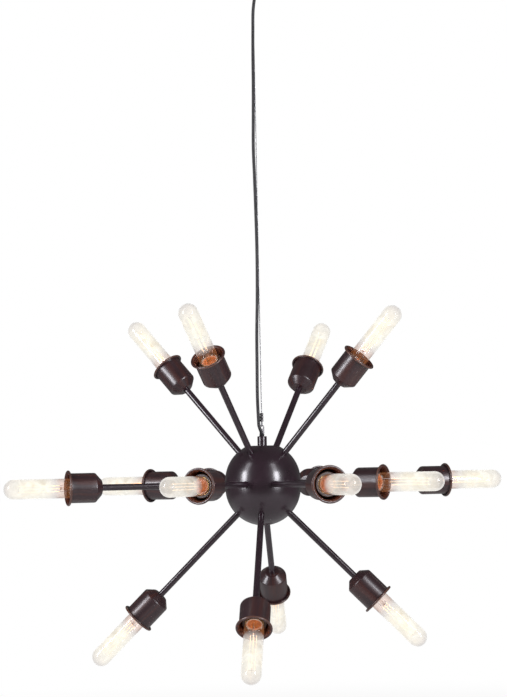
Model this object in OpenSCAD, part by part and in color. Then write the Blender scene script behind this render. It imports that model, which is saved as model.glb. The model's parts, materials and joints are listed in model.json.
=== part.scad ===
// Pendant light: a dark ball hung from a cable, with sixteen arms that end in cups with tube bulbs
// The origin is the centre of the ceiling plate's face, and +Z points up

/* [Hanging] */
// Height from the middle of the ball up to the ceiling
ball_drop = 840; // [500:10:1400]
// Diameter of the steel cable
cable_d = 1.5; // [1:0.1:2]
// Diameter of the power cord
cord_d = 5; // [4:0.5:5.2]
// Diameter of the ball end on the cable
cable_ball_d = 6; // [5:0.5:6.4]
// Angle that the cable may swing each way at the ceiling
swing_angle = 12; // [6:1:14]

/* [Ceiling plate] */
// Length of the bracket bar
bracket_len = 104; // [96:1:110]
// Width of the bracket bar
bracket_w = 24; // [22:1:28]
// Thickness of the bracket bar
bracket_t = 3; // [2:0.5:4]
// Distance between the fixing slots
slot_spacing = 76; // [74:1:78]
// End to end length of a fixing slot
slot_len = 14; // [10:1:16]
// Width of a fixing slot
slot_w = 5; // [4:0.5:6]
// Diameter of the canopy
canopy_d = 120; // [118:1:140]
// Height of the canopy
canopy_h = 28; // [27:1:36]
// Radius of the canopy's rounded edge
canopy_edge_r = 14; // [8:1:16]
// Sheet thickness of the canopy
canopy_wall = 1; // [0.8:0.1:1.2]
// Diameter of the collar nut under the canopy
collar_nut_d = 17; // [14:0.5:18]
// Distance from the canopy's centre to the cord gland
gland_offset = 16; // [16:0.5:20]
// Flange diameter of the cord gland
gland_d = 13; // [13:0.1:13.6]
// Length of the terminal block
terminal_len = 18; // [14:1:18]

/* [Threaded tubes] */
// Outer diameter of the hanger stem and of the tie rod
stem_d = 9.75; // [9.5:0.05:10]
// Bore of the hanger stem above the ball end
stem_bore = 7; // [6.8:0.1:7.4]
// Distance across the flats of the hexagon nuts
nut_flats = 14; // [13:0.5:15]
// Thickness of the hexagon nuts
nut_t = 4; // [3:0.5:5]

/* [Ball] */
// Outer radius of the two half shells
ball_r = 60; // [56:1:70]
// Sheet thickness of the half shells
ball_wall = 1.5; // [1:0.1:2]
// Height of the straight band between the two hemispheres
band_h = 11.4; // [10:0.2:14]
// Radius of the flat on top of the ball
flat_r = 24; // [20:1:28]
// Height of the hub ring behind the joint line
hub_h = 18; // [14:1:20]
// Wall of the hub ring
hub_wall = 4; // [3:0.5:5]
// Diameter of the collar on top of the ball
collar_d = 15; // [14.5:0.5:20]
// Height of the collar on top of the ball
collar_h = 15; // [12:0.5:20]
// Radius of the junction block inside the ball
junction_r = 24; // [22:1:26]
// Height of the junction block inside the ball
junction_h = 40; // [36:1:42]

/* [Hanging eye] */
// Width of the hanging strap
eye_w = 7.6; // [7:0.1:8.5]
// Thickness of the hanging strap
eye_t = 1.5; // [1.2:0.1:1.8]
// Height of the strap above the collar
eye_h = 18.6; // [16:0.2:24]
// Diameter of the strap's round hole
eye_hole_d = 5.2; // [5:0.1:5.4]
// Centre line radius of the cable's loop
loop_r = 2.4; // [2.3:0.1:2.8]
// Angle at which the loop's two strands close up
loop_angle = 18; // [16:1:22]
// Length of the crimp ferrule
ferrule_len = 13.5; // [10:0.5:18]
// Outer diameter of the crimp ferrule
ferrule_d = 5.5; // [5:0.1:6]

/* [Arms] */
// Outer diameter of an arm
arm_d = 10; // [9.5:0.5:12]
// Bore of an arm
arm_bore = 6; // [5.8:0.1:6.4]
// Diameter of the threaded spigot at each end of an arm
spigot_d = 8; // [7.6:0.1:8.4]
// Distance from the ball's middle to the cup rim, long level arms
long_reach = 316; // [280:1:400]
// Distance from the ball's middle to the cup rim, short level arms
short_reach = 210; // [190:1:260]
// Distance from the hemisphere's centre to the cup rim, upward arms
upper_reach = 257; // [220:1:340]
// Rise of the upward arms above the horizontal
upper_rise = 47.5; // [44:0.5:52]
// Distance from the hemisphere's centre to the cup rim, longer downward arms
lower_long_reach = 290; // [240:1:360]
// Distance from the hemisphere's centre to the cup rim, shorter downward arms
lower_short_reach = 254; // [220:1:340]
// Fall of the downward arms below the horizontal
lower_fall = 45; // [42:0.5:50]
// Turn of the short level arms and the upward arms from the long level ones
upper_turn = 45; // [40:1:50]
// Turn of the downward arms from the long level ones
lower_turn = 22.5; // [18:0.5:27]

/* [Cup] */
// Outer diameter of the cup's straight wall
cup_d = 46; // [45.6:0.2:50]
// Height of the cup from its floor to its rim
cup_h = 54; // [52:0.5:60]
// Height of the cup's sloping shoulder
cup_shoulder_h = 10.5; // [8:0.5:13]
// Radius of the cup's flat floor
cup_floor_r = 11.5; // [11:0.5:14]
// Radius of the shoulder's two rounded edges
cup_round = 4; // [3:0.5:6]
// Outer diameter of the rolled rim
cup_rim_d = 55; // [54:0.5:62]
// Radius of the rolled bead at the rim
bead_r = 1.8; // [1.4:0.1:2]
// Height over which the wall flares out to the rim
flare_h = 4; // [3:0.5:6]
// Sheet thickness of the cup
cup_wall = 1; // [0.8:0.1:1.2]

/* [Lampholder] */
// Outer diameter of the lampholder
holder_d = 37; // [35:0.5:38]
// Distance from the cup rim down to the lampholder's mouth
holder_recess = 10; // [8:0.5:14]
// Inner diameter of the brass screw shell
shell_bore = 26.6; // [26.5:0.05:26.8]
// Wall of the brass screw shell
shell_wall = 0.5; // [0.4:0.1:0.8]
// Depth of the brass screw shell
shell_depth = 24; // [23:0.5:26]

/* [Bulb] */
// Outer diameter of the glass tube
glass_d = 30; // [28:0.5:32]
// Distance from the cup rim to the tip of the bulb
glass_beyond = 98; // [80:1:150]
// Glass thickness
glass_wall = 0.8; // [0.6:0.1:1]
// Outer diameter of the screw cap
cap_d = 26; // [25.6:0.1:26.2]
// Length of the stem that carries the filaments
stem_len = 26; // [20:1:36]
// Length of the filaments beyond the stem
filament_len = 64; // [50:1:66]
// Number of filament strands
filaments = 4; // [3:1:6]
// Diameter of a filament strand
filament_d = 1.4; // [0.8:0.1:2]

/* [Hidden] */
// Clearance between parts that touch or screw together
seat = 0.05;
// Clearance of a tube or thread in its hole, on the radius
fit = 0.125;
// Clearance between parts that move against each other
running = 0.3;
// Number of facets on round profiles
$fn = 64;

// Heights along the vertical axis
ball_z = -ball_drop;
half_lift = band_h / 2;
flat_z = half_lift + sqrt(ball_r * ball_r - flat_r * flat_r);
collar_top_z = ball_z + flat_z + collar_h;
pivot_z = -canopy_h;
stem_mouth_h = 9;
stem_bottom_z = pivot_z - stem_mouth_h;
stem_nut_flats = nut_flats + 3;
shell_in_r = ball_r - ball_wall;

// Swinging cable: the share of its seat left open below the ball end, and the room for two swings at once
throat_share = 0.64;
swing_room = 1.5 * swing_angle;

// Cord gland: its body, and the bore that widens both ways from the height of the cable's pivot
gland_body_r = gland_d / 2 - 1.2;
gland_top = 3.6;
gland_flange_t = 1.6;
gland_slack = 0.45;
gland_throat_r = cord_d / 2 + gland_offset * (1 - cos(swing_angle)) + gland_slack;

// Hanging eye and cable loop
eye_edge = 1.6;
eye_hole_z = collar_top_z + eye_h - eye_hole_d / 2 - eye_edge;
loop_pass = 1.3;
loop_centre_z = eye_hole_z + loop_pass + loop_r;
strand_gap = cable_d / 2 + 0.03;
strand_len = (loop_r * cos(loop_angle) - strand_gap) / sin(loop_angle);
strand_full = loop_r * cos(loop_angle) / sin(loop_angle);
ferrule_z = loop_centre_z + loop_r * sin(loop_angle) + strand_len * cos(loop_angle);
cable_start_z = loop_centre_z + loop_r * sin(loop_angle) + strand_full * cos(loop_angle);
cord_hole_y = -2.9;
eye_back = 1.2;
collar_roof = 5;
neck_w = 6;
foot_w = 8.6;
foot_h = 2;
tie_clear = 5;
tie_bottom_z = ball_z - half_lift - shell_in_r + tie_clear;

// Arms: each is [turn, rise, lift of its origin above the ball's middle, reach to the cup rim]
lower_reaches = [lower_long_reach, lower_short_reach, lower_short_reach, lower_long_reach];
function upper_arm(i) = [upper_turn - 90 + 90 * i, upper_rise, half_lift, upper_reach];
function long_arm(i) = [90 * i - 90, 0, 0, long_reach];
function short_arm(i) = [upper_turn - 90 + 90 * i, 0, 0, short_reach];
function lower_arm(i) = [90 * i - 90 - lower_turn, -lower_fall, -half_lift, lower_reaches[i]];
FOUR = [0:3];
LEVEL = concat([for (i = FOUR) long_arm(i)], [for (i = FOUR) short_arm(i)]);
UPPER = [for (i = FOUR) upper_arm(i)];
LOWER = [for (i = FOUR) lower_arm(i)];
ALL = concat(UPPER, LEVEL, LOWER);

// Where an arm's nut bears on the inside of the ball or of the hub ring
nut_corner_r = nut_flats / 2 / cos(30);
hub_out_r = sqrt(shell_in_r * shell_in_r - pow(hub_h / 2 - half_lift, 2)) - running;
hub_in_r = hub_out_r - hub_wall;
shell_nut_s = sqrt(shell_in_r * shell_in_r - nut_corner_r * nut_corner_r) - seat;
hub_nut_s = sqrt(hub_in_r * hub_in_r - nut_corner_r * nut_corner_r) - seat;
function nut_s(arm) = arm[1] == 0 ? hub_nut_s : shell_nut_s;
spigot_over = 2;

// Sizes along a lamp, measured from the cup's floor towards the rim
spigot_in = 8;
mouth_edge = 1;
mouth_bevel = 0.6;
holder_top = cup_h - holder_recess;
shell_floor = holder_top - shell_depth - mouth_edge;
holder_web = 1.5;
holder_neck_wall = 4.5;
neck_r = spigot_d / 2 + holder_neck_wall;
neck_h = 8;
cone_top = 15;
cone_edge_h = 2;
contact_t = 0.8;
contact_h = 2;
cap_tip = shell_floor + contact_t + contact_h;
cap_tip_r = 4.75;
cap_proud = 1;
cap_top = holder_top + cap_proud;
cap_end_h = 5.5;
cap_body = cap_tip + cap_end_h;
glass_sunk = 6;
glass_neck = cap_top - glass_sunk;
shoulder_below_rim = 3;
glass_tube_start = cup_h - shoulder_below_rim;
glass_tip = cup_h + glass_beyond;

// Screw cap: contact button, insulator, edge and sheet
cap_button_h = 1;
cap_insulator_r = 7;
cap_insulator_h = 0.5;
cap_edge = 1;
cap_wall = 0.5;

// Glass: neck and shoulder, then the stem inside with its flared foot
glass_neck_rise = 0.5;
shoulder_w = 4;
shoulder_gap = 1;
foot_rim_h = 2;
foot_mid_r = 4;
foot_mid_h = 6;
foot_top_h = 12;
glass_stem_r = 2.5;
stem_tip_t = 1;

// Filament cage: radius of the strands, and its middle wire and spoked discs
cage_r = 4.5;
wire_r = 0.5;
wire_sunk = 3;
disc_t = 0.8;
disc_hub_r = 1;
disc_spoke_w = 1;
disc_edge = 0.3;

// Sockets of the junction block, measured along an arm from its origin
lead_room = 0.5;
lead_r = arm_bore / 2 - lead_room;
lead_slack = 0.2;
socket_depth = 5;
junction_edge = 2;
function entry_s(arm) = arm[1] == 0
    ? junction_r
    : (junction_h / 2 - half_lift) / sin(abs(arm[1]));

// Route of the power cord: hanging points are [x, y, z] in millimetres from the ceiling's centre
hang_clear_top = 30;
hang_clear_eye = 34;
cord_hang = [
    [-3, -9, -75], [-3, -5, -110], [-3.5, -4, -150], [-4, -4, -200], [-5, -4, -250],
    [-6, -4, -300], [-5, -4, -350], [-4, -4, -410], [-3.5, -4, -470], [-4.5, -4, -540],
    [-6.5, -4, -600], [-7, -3.5, -650], [-7.5, -3.5, -700]
];
// Points near the eye are [x, y, height above the collar's top]
cord_near_eye = [[-6.5, -3.5, 26], [-6, -4, 16], [-3.5, -4.2, 9], [-1.5, -3.7, 4]];
cord_route = concat(
    [[0, -gland_offset, pivot_z + 10], [0, -gland_offset, pivot_z], [0, -gland_offset, pivot_z - 14]],
    [for (p = cord_hang) if (p.z > collar_top_z + hang_clear_eye && p.z < pivot_z - hang_clear_top) p],
    [for (p = cord_near_eye) [p.x, p.y, collar_top_z + p.z]],
    [[0, cord_hole_y, collar_top_z], [0, cord_hole_y, collar_top_z - 5]]
);

// Smooth curve through the points, and the rings of a tube along it
function clampi(i, n) = min(max(i, 0), n - 1);
function blend_at(p, i, t) = let (
    a = p[clampi(i - 1, len(p))], b = p[i], c = p[clampi(i + 1, len(p))], d = p[clampi(i + 2, len(p))]
) 0.5 * (2 * b + (c - a) * t + (2 * a - 5 * b + 4 * c - d) * t * t + (3 * b - a - 3 * c + d) * t * t * t);
function steps(p, i, pitch) = max(1, ceil(norm(p[i + 1] - p[i]) / pitch));
function smooth(p, pitch) = concat(
    [for (i = [0:len(p) - 2]) for (k = [0:steps(p, i, pitch) - 1]) blend_at(p, i, k / steps(p, i, pitch))],
    [p[len(p) - 1]]
);
function unit(v) = v / norm(v);
function heading(c, i) = unit(c[clampi(i + 1, len(c))] - c[clampi(i - 1, len(c))]);
function ring(centre, along, r, sides) = let (
    side = unit(cross(along, [0, 1, 0])), up = cross(along, side)
) [for (k = [0:sides - 1]) centre + r * (cos(360 * k / sides) * side + sin(360 * k / sides) * up)];

// Points that round the corner b between the lines to a and to c
function fillet(a, b, c, r, n) = let (
    u = unit(a - b), v = unit(c - b), half = acos(u * v) / 2, centre = b + unit(u + v) * r / sin(half),
    from = b + u * r / tan(half) - centre, to = b + v * r / tan(half) - centre
) [for (i = [0:n]) centre + r * unit(from * (n - i) + to * i)];

// Points of an elliptical arc
function arc(cx, cy, rx, ry, from, to, n) = [
    for (i = [0:n]) let (a = from + (to - from) * i / n) [cx + rx * cos(a), cy + ry * sin(a)]
];

function names(word) = [for (i = FOUR) str(word, i + 1)];

// Puts its children on an arm, with +Z along the arm and the distance s from the arm's origin
module on_arm(arm, s) {
    translate([0, 0, ball_z + arm[2]])
        rotate([0, 90 - arm[1], arm[0]])
            translate([0, 0, s])
                children();
}

// Round bar along Z between two heights
module bar(r, from, to) {
    translate([0, 0, from])
        cylinder(r = r, h = to - from);
}

// Round tube along Z between two heights
module tube(r, bore, from, to) {
    difference() {
        bar(r, from, to);
        bar(bore, from - 1, to + 1);
    }
}

// Hexagon nut along Z with a plain bore
module hex_nut(flats, thickness, bore) {
    difference() {
        cylinder(r = flats / 2 / cos(30), h = thickness, $fn = 6);
        bar(bore, -1, thickness + 1);
    }
}

module ceiling_bracket() {
    color("silver")
        difference() {
            translate([-bracket_len / 2, -bracket_w / 2, -bracket_t])
                cube([bracket_len, bracket_w, bracket_t]);
            for (side = [-1, 1])
                translate([side * slot_spacing / 2, 0, -bracket_t - 1]) {
                    for (end = [-1, 1])
                        translate([end * (slot_len - slot_w) / 2, 0, 0])
                            cylinder(d = slot_w, h = bracket_t + 2);
                    translate([-(slot_len - slot_w) / 2, -slot_w / 2, 0])
                        cube([slot_len - slot_w, slot_w, bracket_t + 2]);
                }
            bar(stem_d / 2 + fit, -bracket_t - 1, 1);
        }
}

module canopy() {
    edge = canopy_d / 2 - canopy_edge_r;
    outer = arc(edge, canopy_edge_r - canopy_h, canopy_edge_r, canopy_edge_r, -90, 0, 12);
    inner_r = canopy_edge_r - canopy_wall;
    inner = arc(edge, canopy_edge_r - canopy_h, inner_r, inner_r, 0, -90, 12);
    hole_r = stem_d / 2 + fit;
    color([0.2, 0.16, 0.19])
        difference() {
            rotate_extrude($fn = 96)
                polygon(concat(
                    [[hole_r, -canopy_h]], outer, [[canopy_d / 2, 0], [canopy_d / 2 - canopy_wall, 0]],
                    inner, [[hole_r, canopy_wall - canopy_h]]
                ));
            translate([0, -gland_offset, -canopy_h - 1])
                cylinder(r = gland_body_r + fit, h = canopy_wall + 2);
        }
}

// Hollow stem with a round seat for the cable's ball end and a mouth in which the cable swings
module hanger_stem() {
    seat_r = cable_ball_d / 2 + running;
    throat_r = seat_r * throat_share;
    throat_h = sqrt(seat_r * seat_r - throat_r * throat_r);
    mouth_r = throat_r + (stem_mouth_h - throat_h) * tan(swing_room);
    color("silver")
        difference() {
            bar(stem_d / 2, stem_bottom_z, -seat);
            bar(stem_bore / 2, pivot_z, 1);
            translate([0, 0, pivot_z])
                rotate_extrude()
                    intersection() {
                        circle(r = seat_r);
                        translate([0, -throat_h])
                            square([seat_r, 2 * seat_r]);
                    }
            translate([0, 0, stem_bottom_z])
                rotate_extrude()
                    polygon([
                        [0, -1], [mouth_r + tan(swing_room), -1], [mouth_r, 0],
                        [throat_r, stem_mouth_h - throat_h], [0, stem_mouth_h - throat_h]
                    ]);
        }
}

module stem_locknut() {
    color("gold")
        translate([0, 0, -bracket_t - nut_t - seat])
            hex_nut(stem_nut_flats, nut_t, stem_d / 2 + fit);
}

module collar_nut() {
    bevel = 1.5;
    bore = stem_d / 2 + fit;
    color([0.2, 0.16, 0.19])
        translate([0, 0, stem_bottom_z - seat])
            rotate_extrude()
                polygon([
                    [bore, 0], [collar_nut_d / 2 - bevel, 0], [collar_nut_d / 2, bevel],
                    [collar_nut_d / 2, stem_mouth_h], [bore, stem_mouth_h]
                ]);
}

// Bush that the power cord passes, with a flange below the canopy and a snap edge above its sheet
module cord_gland() {
    snap = 0.7;
    bevel = 0.8;
    lower_r = gland_throat_r + gland_flange_t * tan(swing_room);
    upper_r = gland_throat_r + gland_top * tan(swing_room);
    color([0.15, 0.15, 0.15])
        translate([0, -gland_offset, pivot_z])
            rotate_extrude()
                polygon([
                    [lower_r, -gland_flange_t - seat], [gland_d / 2 - bevel, -gland_flange_t - seat],
                    [gland_d / 2, bevel - gland_flange_t], [gland_d / 2, -seat], [gland_body_r, -seat],
                    [gland_body_r, canopy_wall + seat], [gland_body_r + snap, canopy_wall + seat],
                    [gland_body_r, canopy_wall + 2 * snap], [gland_body_r, gland_top], [upper_r, gland_top],
                    [gland_throat_r, 0]
                ]);
}

// Three pole terminal block: a wire passes along X, and each pole has two screw wells from below
module terminal_block() {
    start = stem_nut_flats / 2 / cos(30) + 1;
    width = bracket_w - 3;
    height = 12;
    poles = 3;
    pitch = width / poles;
    wire_r = 1.7;
    color([0.9, 0.88, 0.8])
        translate([start, -width / 2, -bracket_t - seat - height])
            difference() {
                cube([terminal_len, width, height]);
                for (i = [0:poles - 1])
                    translate([0, (i + 0.5) * pitch, 0]) {
                        translate([-1, 0, height / 2])
                            rotate([0, 90, 0])
                                cylinder(r = wire_r, h = terminal_len + 2);
                        for (x = [0.25, 0.75])
                            translate([x * terminal_len, 0, -1])
                                cylinder(r = wire_r + 0.3, h = height / 2 + 1);
                    }
                for (i = [1:poles - 1])
                    translate([-1, i * pitch - 0.5, -1])
                        cube([terminal_len + 2, 1, 3]);
            }
}

module cable_ball() {
    color("silver")
        translate([0, 0, pivot_z])
            sphere(d = cable_ball_d);
}

// Straight cable, and a loop in the YZ plane that passes the eye and closes up under the ferrule
module cable_line(r) {
    bar(r, cable_start_z, pivot_z - cable_ball_d / 2 - seat);
    translate([0, 0, loop_centre_z])
        rotate([90, 0, 90])
            rotate([0, 0, 180 - loop_angle])
                rotate_extrude(angle = 180 + 2 * loop_angle)
                    translate([loop_r, 0])
                        circle(r = r);
    for (side = [-1, 1])
        translate([0, side * loop_r * cos(loop_angle), loop_centre_z + loop_r * sin(loop_angle)])
            rotate([side * loop_angle, 0, 0])
                cylinder(r = r, h = strand_full);
}

module steel_cable() {
    color([0.75, 0.76, 0.78])
        cable_line(cable_d / 2);
}

module power_cord() {
    sides = 10;
    line = smooth(cord_route, 3 * cord_d);
    count = len(line);
    color([0.12, 0.11, 0.12])
        polyhedron(
            points = [for (i = [0:count - 1]) each ring(line[i], heading(line, i), cord_d / 2, sides)],
            faces = concat(
                [[for (k = [0:sides - 1]) k]],
                [for (i = [0:count - 2]) for (k = [0:sides - 1]) let (next = (k + 1) % sides)
                    [i * sides + k, (i + 1) * sides + k, (i + 1) * sides + next]],
                [for (i = [0:count - 2]) for (k = [0:sides - 1]) let (next = (k + 1) % sides)
                    [i * sides + k, (i + 1) * sides + next, i * sides + next]],
                [[for (k = [sides - 1:-1:0]) (count - 1) * sides + k]]
            )
        );
}

// Crimp sleeve with two pressed grooves, closed round the cable
module cable_ferrule() {
    groove = 0.5;
    step = ferrule_len / 5;
    r = ferrule_d / 2;
    color([0.7, 0.7, 0.72])
        difference() {
            translate([0, 0, ferrule_z])
                rotate_extrude()
                    polygon([
                        [0, 0], [r - groove, 0], [r, groove], [r, step], [r - groove, 1.5 * step],
                        [r, 2 * step], [r, 3 * step], [r - groove, 3.5 * step], [r, 4 * step],
                        [r, ferrule_len - groove], [r - groove, ferrule_len], [0, ferrule_len]
                    ]);
            cable_line(cable_d / 2 + seat);
        }
}

// Strap with a round hole, set back by a joggle where it enters the collar, and a foot under the roof
module hanging_eye() {
    top_r = eye_w / 2;
    foot_z = collar_top_z - collar_roof - foot_h;
    color([0.2, 0.16, 0.19])
        intersection() {
            translate([0, eye_t + eye_back, 0])
                rotate([90, 0, 0])
                    linear_extrude(2 * eye_t + eye_back)
                        difference() {
                            union() {
                                translate([-foot_w / 2, foot_z])
                                    square([foot_w, foot_h - seat]);
                                translate([-neck_w / 2, foot_z])
                                    square([neck_w, foot_h + collar_roof + 1]);
                                translate([-top_r, collar_top_z + seat])
                                    square([eye_w, eye_h - top_r - seat]);
                                translate([0, collar_top_z + eye_h - top_r])
                                    circle(r = top_r);
                            }
                            translate([0, eye_hole_z])
                                circle(d = eye_hole_d);
                        }
            rotate([90, 0, 90])
                translate([0, 0, -foot_w])
                    linear_extrude(2 * foot_w)
                        polygon([
                            [eye_back - eye_t / 2, foot_z - 1], [eye_back + eye_t / 2, foot_z - 1],
                            [eye_back + eye_t / 2, collar_top_z + 1], [eye_t / 2, collar_top_z + 4],
                            [eye_t / 2, collar_top_z + eye_h + 1], [-eye_t / 2, collar_top_z + eye_h + 1],
                            [-eye_t / 2, collar_top_z + 3.5], [eye_back - eye_t / 2, collar_top_z + 0.5]
                        ]);
        }
}

// Round collar with a bore for the tie rod, a slot for the eye and a hole for the power cord
module ball_collar() {
    r = collar_d / 2;
    bevel = 0.6;
    bore = stem_d / 2 + fit;
    roof_z = collar_top_z - collar_roof;
    color([0.2, 0.16, 0.19])
        difference() {
            translate([0, 0, ball_z + flat_z])
                rotate_extrude()
                    polygon([
                        [0, seat], [r, seat], [r, collar_h - bevel], [r - bevel, collar_h], [0, collar_h]
                    ]);
            bar(bore, ball_z + flat_z - 1, roof_z);
            translate([-neck_w / 2 - seat, eye_back - eye_t / 2 - seat, roof_z - 1])
                cube([neck_w + 2 * seat, eye_t + 2 * seat, collar_roof + 2]);
            translate([0, cord_hole_y, roof_z - 1])
                cylinder(r = cord_d / 2 + seat, h = collar_roof + 2);
        }
}

module tie_rod() {
    wall = 1.2;
    color("silver")
        tube(stem_d / 2, stem_d / 2 - wall, tie_bottom_z, collar_top_z - collar_roof - foot_h - seat);
}

// Quarter disc on a straight skirt, in the plane that is turned into a half shell
module half_shell_outline(r, skirt) {
    intersection() {
        circle(r = r, $fn = 128);
        square([r, r]);
    }
    translate([0, -skirt])
        square([r, skirt]);
}

// One half of the ball, with its skirt towards the joint line
module half_shell(flat_top) {
    hollow_h = flat_top ? flat_z - ball_wall : half_lift + ball_r;
    difference() {
        translate([0, 0, half_lift])
            rotate_extrude($fn = 128)
                difference() {
                    half_shell_outline(ball_r, half_lift - seat);
                    intersection() {
                        half_shell_outline(shell_in_r, half_lift + 1);
                        translate([0, -half_lift - 1])
                            square([ball_r, hollow_h + 1]);
                    }
                    if (flat_top)
                        translate([0, flat_z - half_lift])
                            square([ball_r, ball_r]);
                }
        for (arm = LEVEL)
            rotate([0, 90, arm[0]])
                bar(spigot_d / 2 + fit, hub_in_r, ball_r + 5);
    }
}

module ball_upper_shell() {
    color([0.2, 0.16, 0.19])
        difference() {
            translate([0, 0, ball_z])
                half_shell(true);
            for (arm = UPPER)
                on_arm(arm, ball_r - 10)
                    cylinder(r = spigot_d / 2 + fit, h = 20);
            bar(stem_d / 2 + fit, ball_z, ball_z + flat_z + 1);
        }
}

module ball_lower_shell() {
    boss_r = stem_d / 2 + 4;
    boss_h = 14;
    floor_z = ball_z - half_lift - shell_in_r;
    color([0.2, 0.16, 0.19])
        difference() {
            union() {
                translate([0, 0, ball_z])
                    mirror([0, 0, 1])
                        half_shell(false);
                bar(boss_r, floor_z, floor_z + boss_h);
            }
            for (arm = LOWER)
                on_arm(arm, ball_r - 10)
                    cylinder(r = spigot_d / 2 + fit, h = 20);
            bar(stem_d / 2 + fit, tie_bottom_z - seat, ball_z);
        }
}

module hub_ring() {
    color("silver")
        difference() {
            tube(hub_out_r, hub_in_r, ball_z - hub_h / 2, ball_z + hub_h / 2);
            for (arm = LEVEL)
                on_arm(arm, hub_in_r - 5)
                    cylinder(r = spigot_d / 2 + fit, h = hub_wall + 15);
        }
}

// Insulating block on the tie rod, with a socket for every lamp lead
module junction_block() {
    color([0.9, 0.88, 0.8])
        difference() {
            translate([0, 0, ball_z - junction_h / 2])
                rotate_extrude()
                    polygon([
                        [stem_d / 2 + fit, 0], [junction_r - junction_edge, 0], [junction_r, junction_edge],
                        [junction_r, junction_h - junction_edge], [junction_r - junction_edge, junction_h],
                        [stem_d / 2 + fit, junction_h]
                    ]);
            for (arm = ALL)
                on_arm(arm, entry_s(arm) - socket_depth)
                    cylinder(r = lead_r + lead_slack, h = socket_depth + junction_r);
        }
}

// Tube with a threaded spigot at each end: one passes the ball's wall, the other holds the lampholder
module arm_tube(arm) {
    floor_s = arm[3] - cup_h;
    inner_end = nut_s(arm) - nut_t - spigot_over;
    on_arm(arm, 0)
        difference() {
            union() {
                bar(arm_d / 2, ball_r + seat, floor_s - seat);
                bar(spigot_d / 2, inner_end, floor_s + spigot_in);
            }
            bar(arm_bore / 2, inner_end - 1, floor_s + spigot_in + 1);
        }
}

module arm_tubes(arms) {
    color([0.2, 0.16, 0.19])
        for (arm = arms)
            arm_tube(arm);
}

module arm_locknuts() {
    color("gold")
        for (arm = ALL)
            on_arm(arm, nut_s(arm) - nut_t)
                hex_nut(nut_flats, nut_t, spigot_d / 2 + fit);
}

module lamp_leads() {
    lamp_end = shell_floor - holder_web - seat;
    color([0.8, 0.2, 0.15])
        for (arm = ALL)
            on_arm(arm, 0)
                bar(lead_r, entry_s(arm) - socket_depth + seat, arm[3] - cup_h + lamp_end);
}

// Puts its children in every lamp, measured from the cup's floor
module in_lamps() {
    for (arm = ALL)
        on_arm(arm, arm[3] - cup_h)
            children();
}

module lampholder_bodies() {
    r = holder_d / 2;
    hole_r = spigot_d / 2 + fit;
    socket_r = shell_bore / 2 + shell_wall + fit;
    color([0.16, 0.12, 0.1])
        in_lamps()
            rotate_extrude()
                polygon([
                    [hole_r, cup_wall + seat], [neck_r, cup_wall + seat], [neck_r, neck_h],
                    [r - mouth_edge, cone_top], [r, cone_top + cone_edge_h],
                    [r, holder_top - mouth_edge], [r - mouth_edge, holder_top],
                    [socket_r + mouth_bevel, holder_top], [socket_r, holder_top - mouth_bevel],
                    [socket_r, shell_floor], [0, shell_floor],
                    [0, shell_floor - holder_web], [hole_r, shell_floor - holder_web]
                ]);
}

module lampholder_shells() {
    color("goldenrod")
        in_lamps()
            tube(shell_bore / 2 + shell_wall, shell_bore / 2, shell_floor + seat, holder_top - mouth_edge);
}

module lampholder_contacts() {
    color("goldenrod")
        in_lamps() {
            bar(cap_tip_r, shell_floor + seat, shell_floor + contact_t);
            bar(cap_tip_r / 2, shell_floor + contact_t, cap_tip - running);
        }
}

// Spun cup: flat floor, sloping shoulder, straight wall, flare and rolled rim
module cup(arm) {
    r = cup_d / 2;
    in_r = r - cup_wall;
    slope = atan2(cup_shoulder_h, r - cup_floor_r);
    floor_edge = [cup_floor_r, 0];
    wall_edge = [r, cup_shoulder_h];
    in_floor_edge = [cup_floor_r - cup_wall * tan(slope / 2), cup_wall];
    in_wall_edge = [in_r, cup_shoulder_h + cup_wall * tan(45 - slope / 2)];
    bead_at = cup_rim_d / 2 - bead_r;
    flare_z = cup_h - cup_wall - flare_h;
    hole_r = spigot_d / 2 + fit;
    color([0.2, 0.16, 0.19])
        on_arm(arm, arm[3] - cup_h)
            rotate_extrude() {
                polygon(concat(
                    [[hole_r, 0]],
                    fillet([0, 0], floor_edge, wall_edge, cup_round, 5),
                    fillet(floor_edge, wall_edge, [r, cup_h], cup_round, 5),
                    arc(bead_at, flare_z, bead_at - r, flare_h, 180, 90, 6),
                    arc(bead_at, flare_z, bead_at - in_r, flare_h + cup_wall, 90, 180, 6),
                    fillet([in_r, cup_h], in_wall_edge, in_floor_edge, cup_round - cup_wall, 5),
                    fillet(in_wall_edge, in_floor_edge, [0, cup_wall], cup_round - cup_wall, 5),
                    [[hole_r, cup_wall]]
                ));
                translate([bead_at, cup_h - bead_r])
                    circle(r = bead_r);
            }
}

// Spoked disc that holds the filament strands at one end of the cage
module cage_disc(z, height) {
    rim_w = filament_d / 2 + disc_edge;
    difference() {
        bar(cage_r + rim_w, z, z + height);
        difference() {
            bar(cage_r - rim_w, z - 1, z + height + 1);
            bar(disc_hub_r, z - 2, z + height + 2);
            for (i = [1:filaments])
                rotate([0, 0, 360 * i / filaments])
                    translate([0, -disc_spoke_w / 2, z - 2])
                        cube([cage_r, disc_spoke_w, height + 4]);
        }
    }
}

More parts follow.
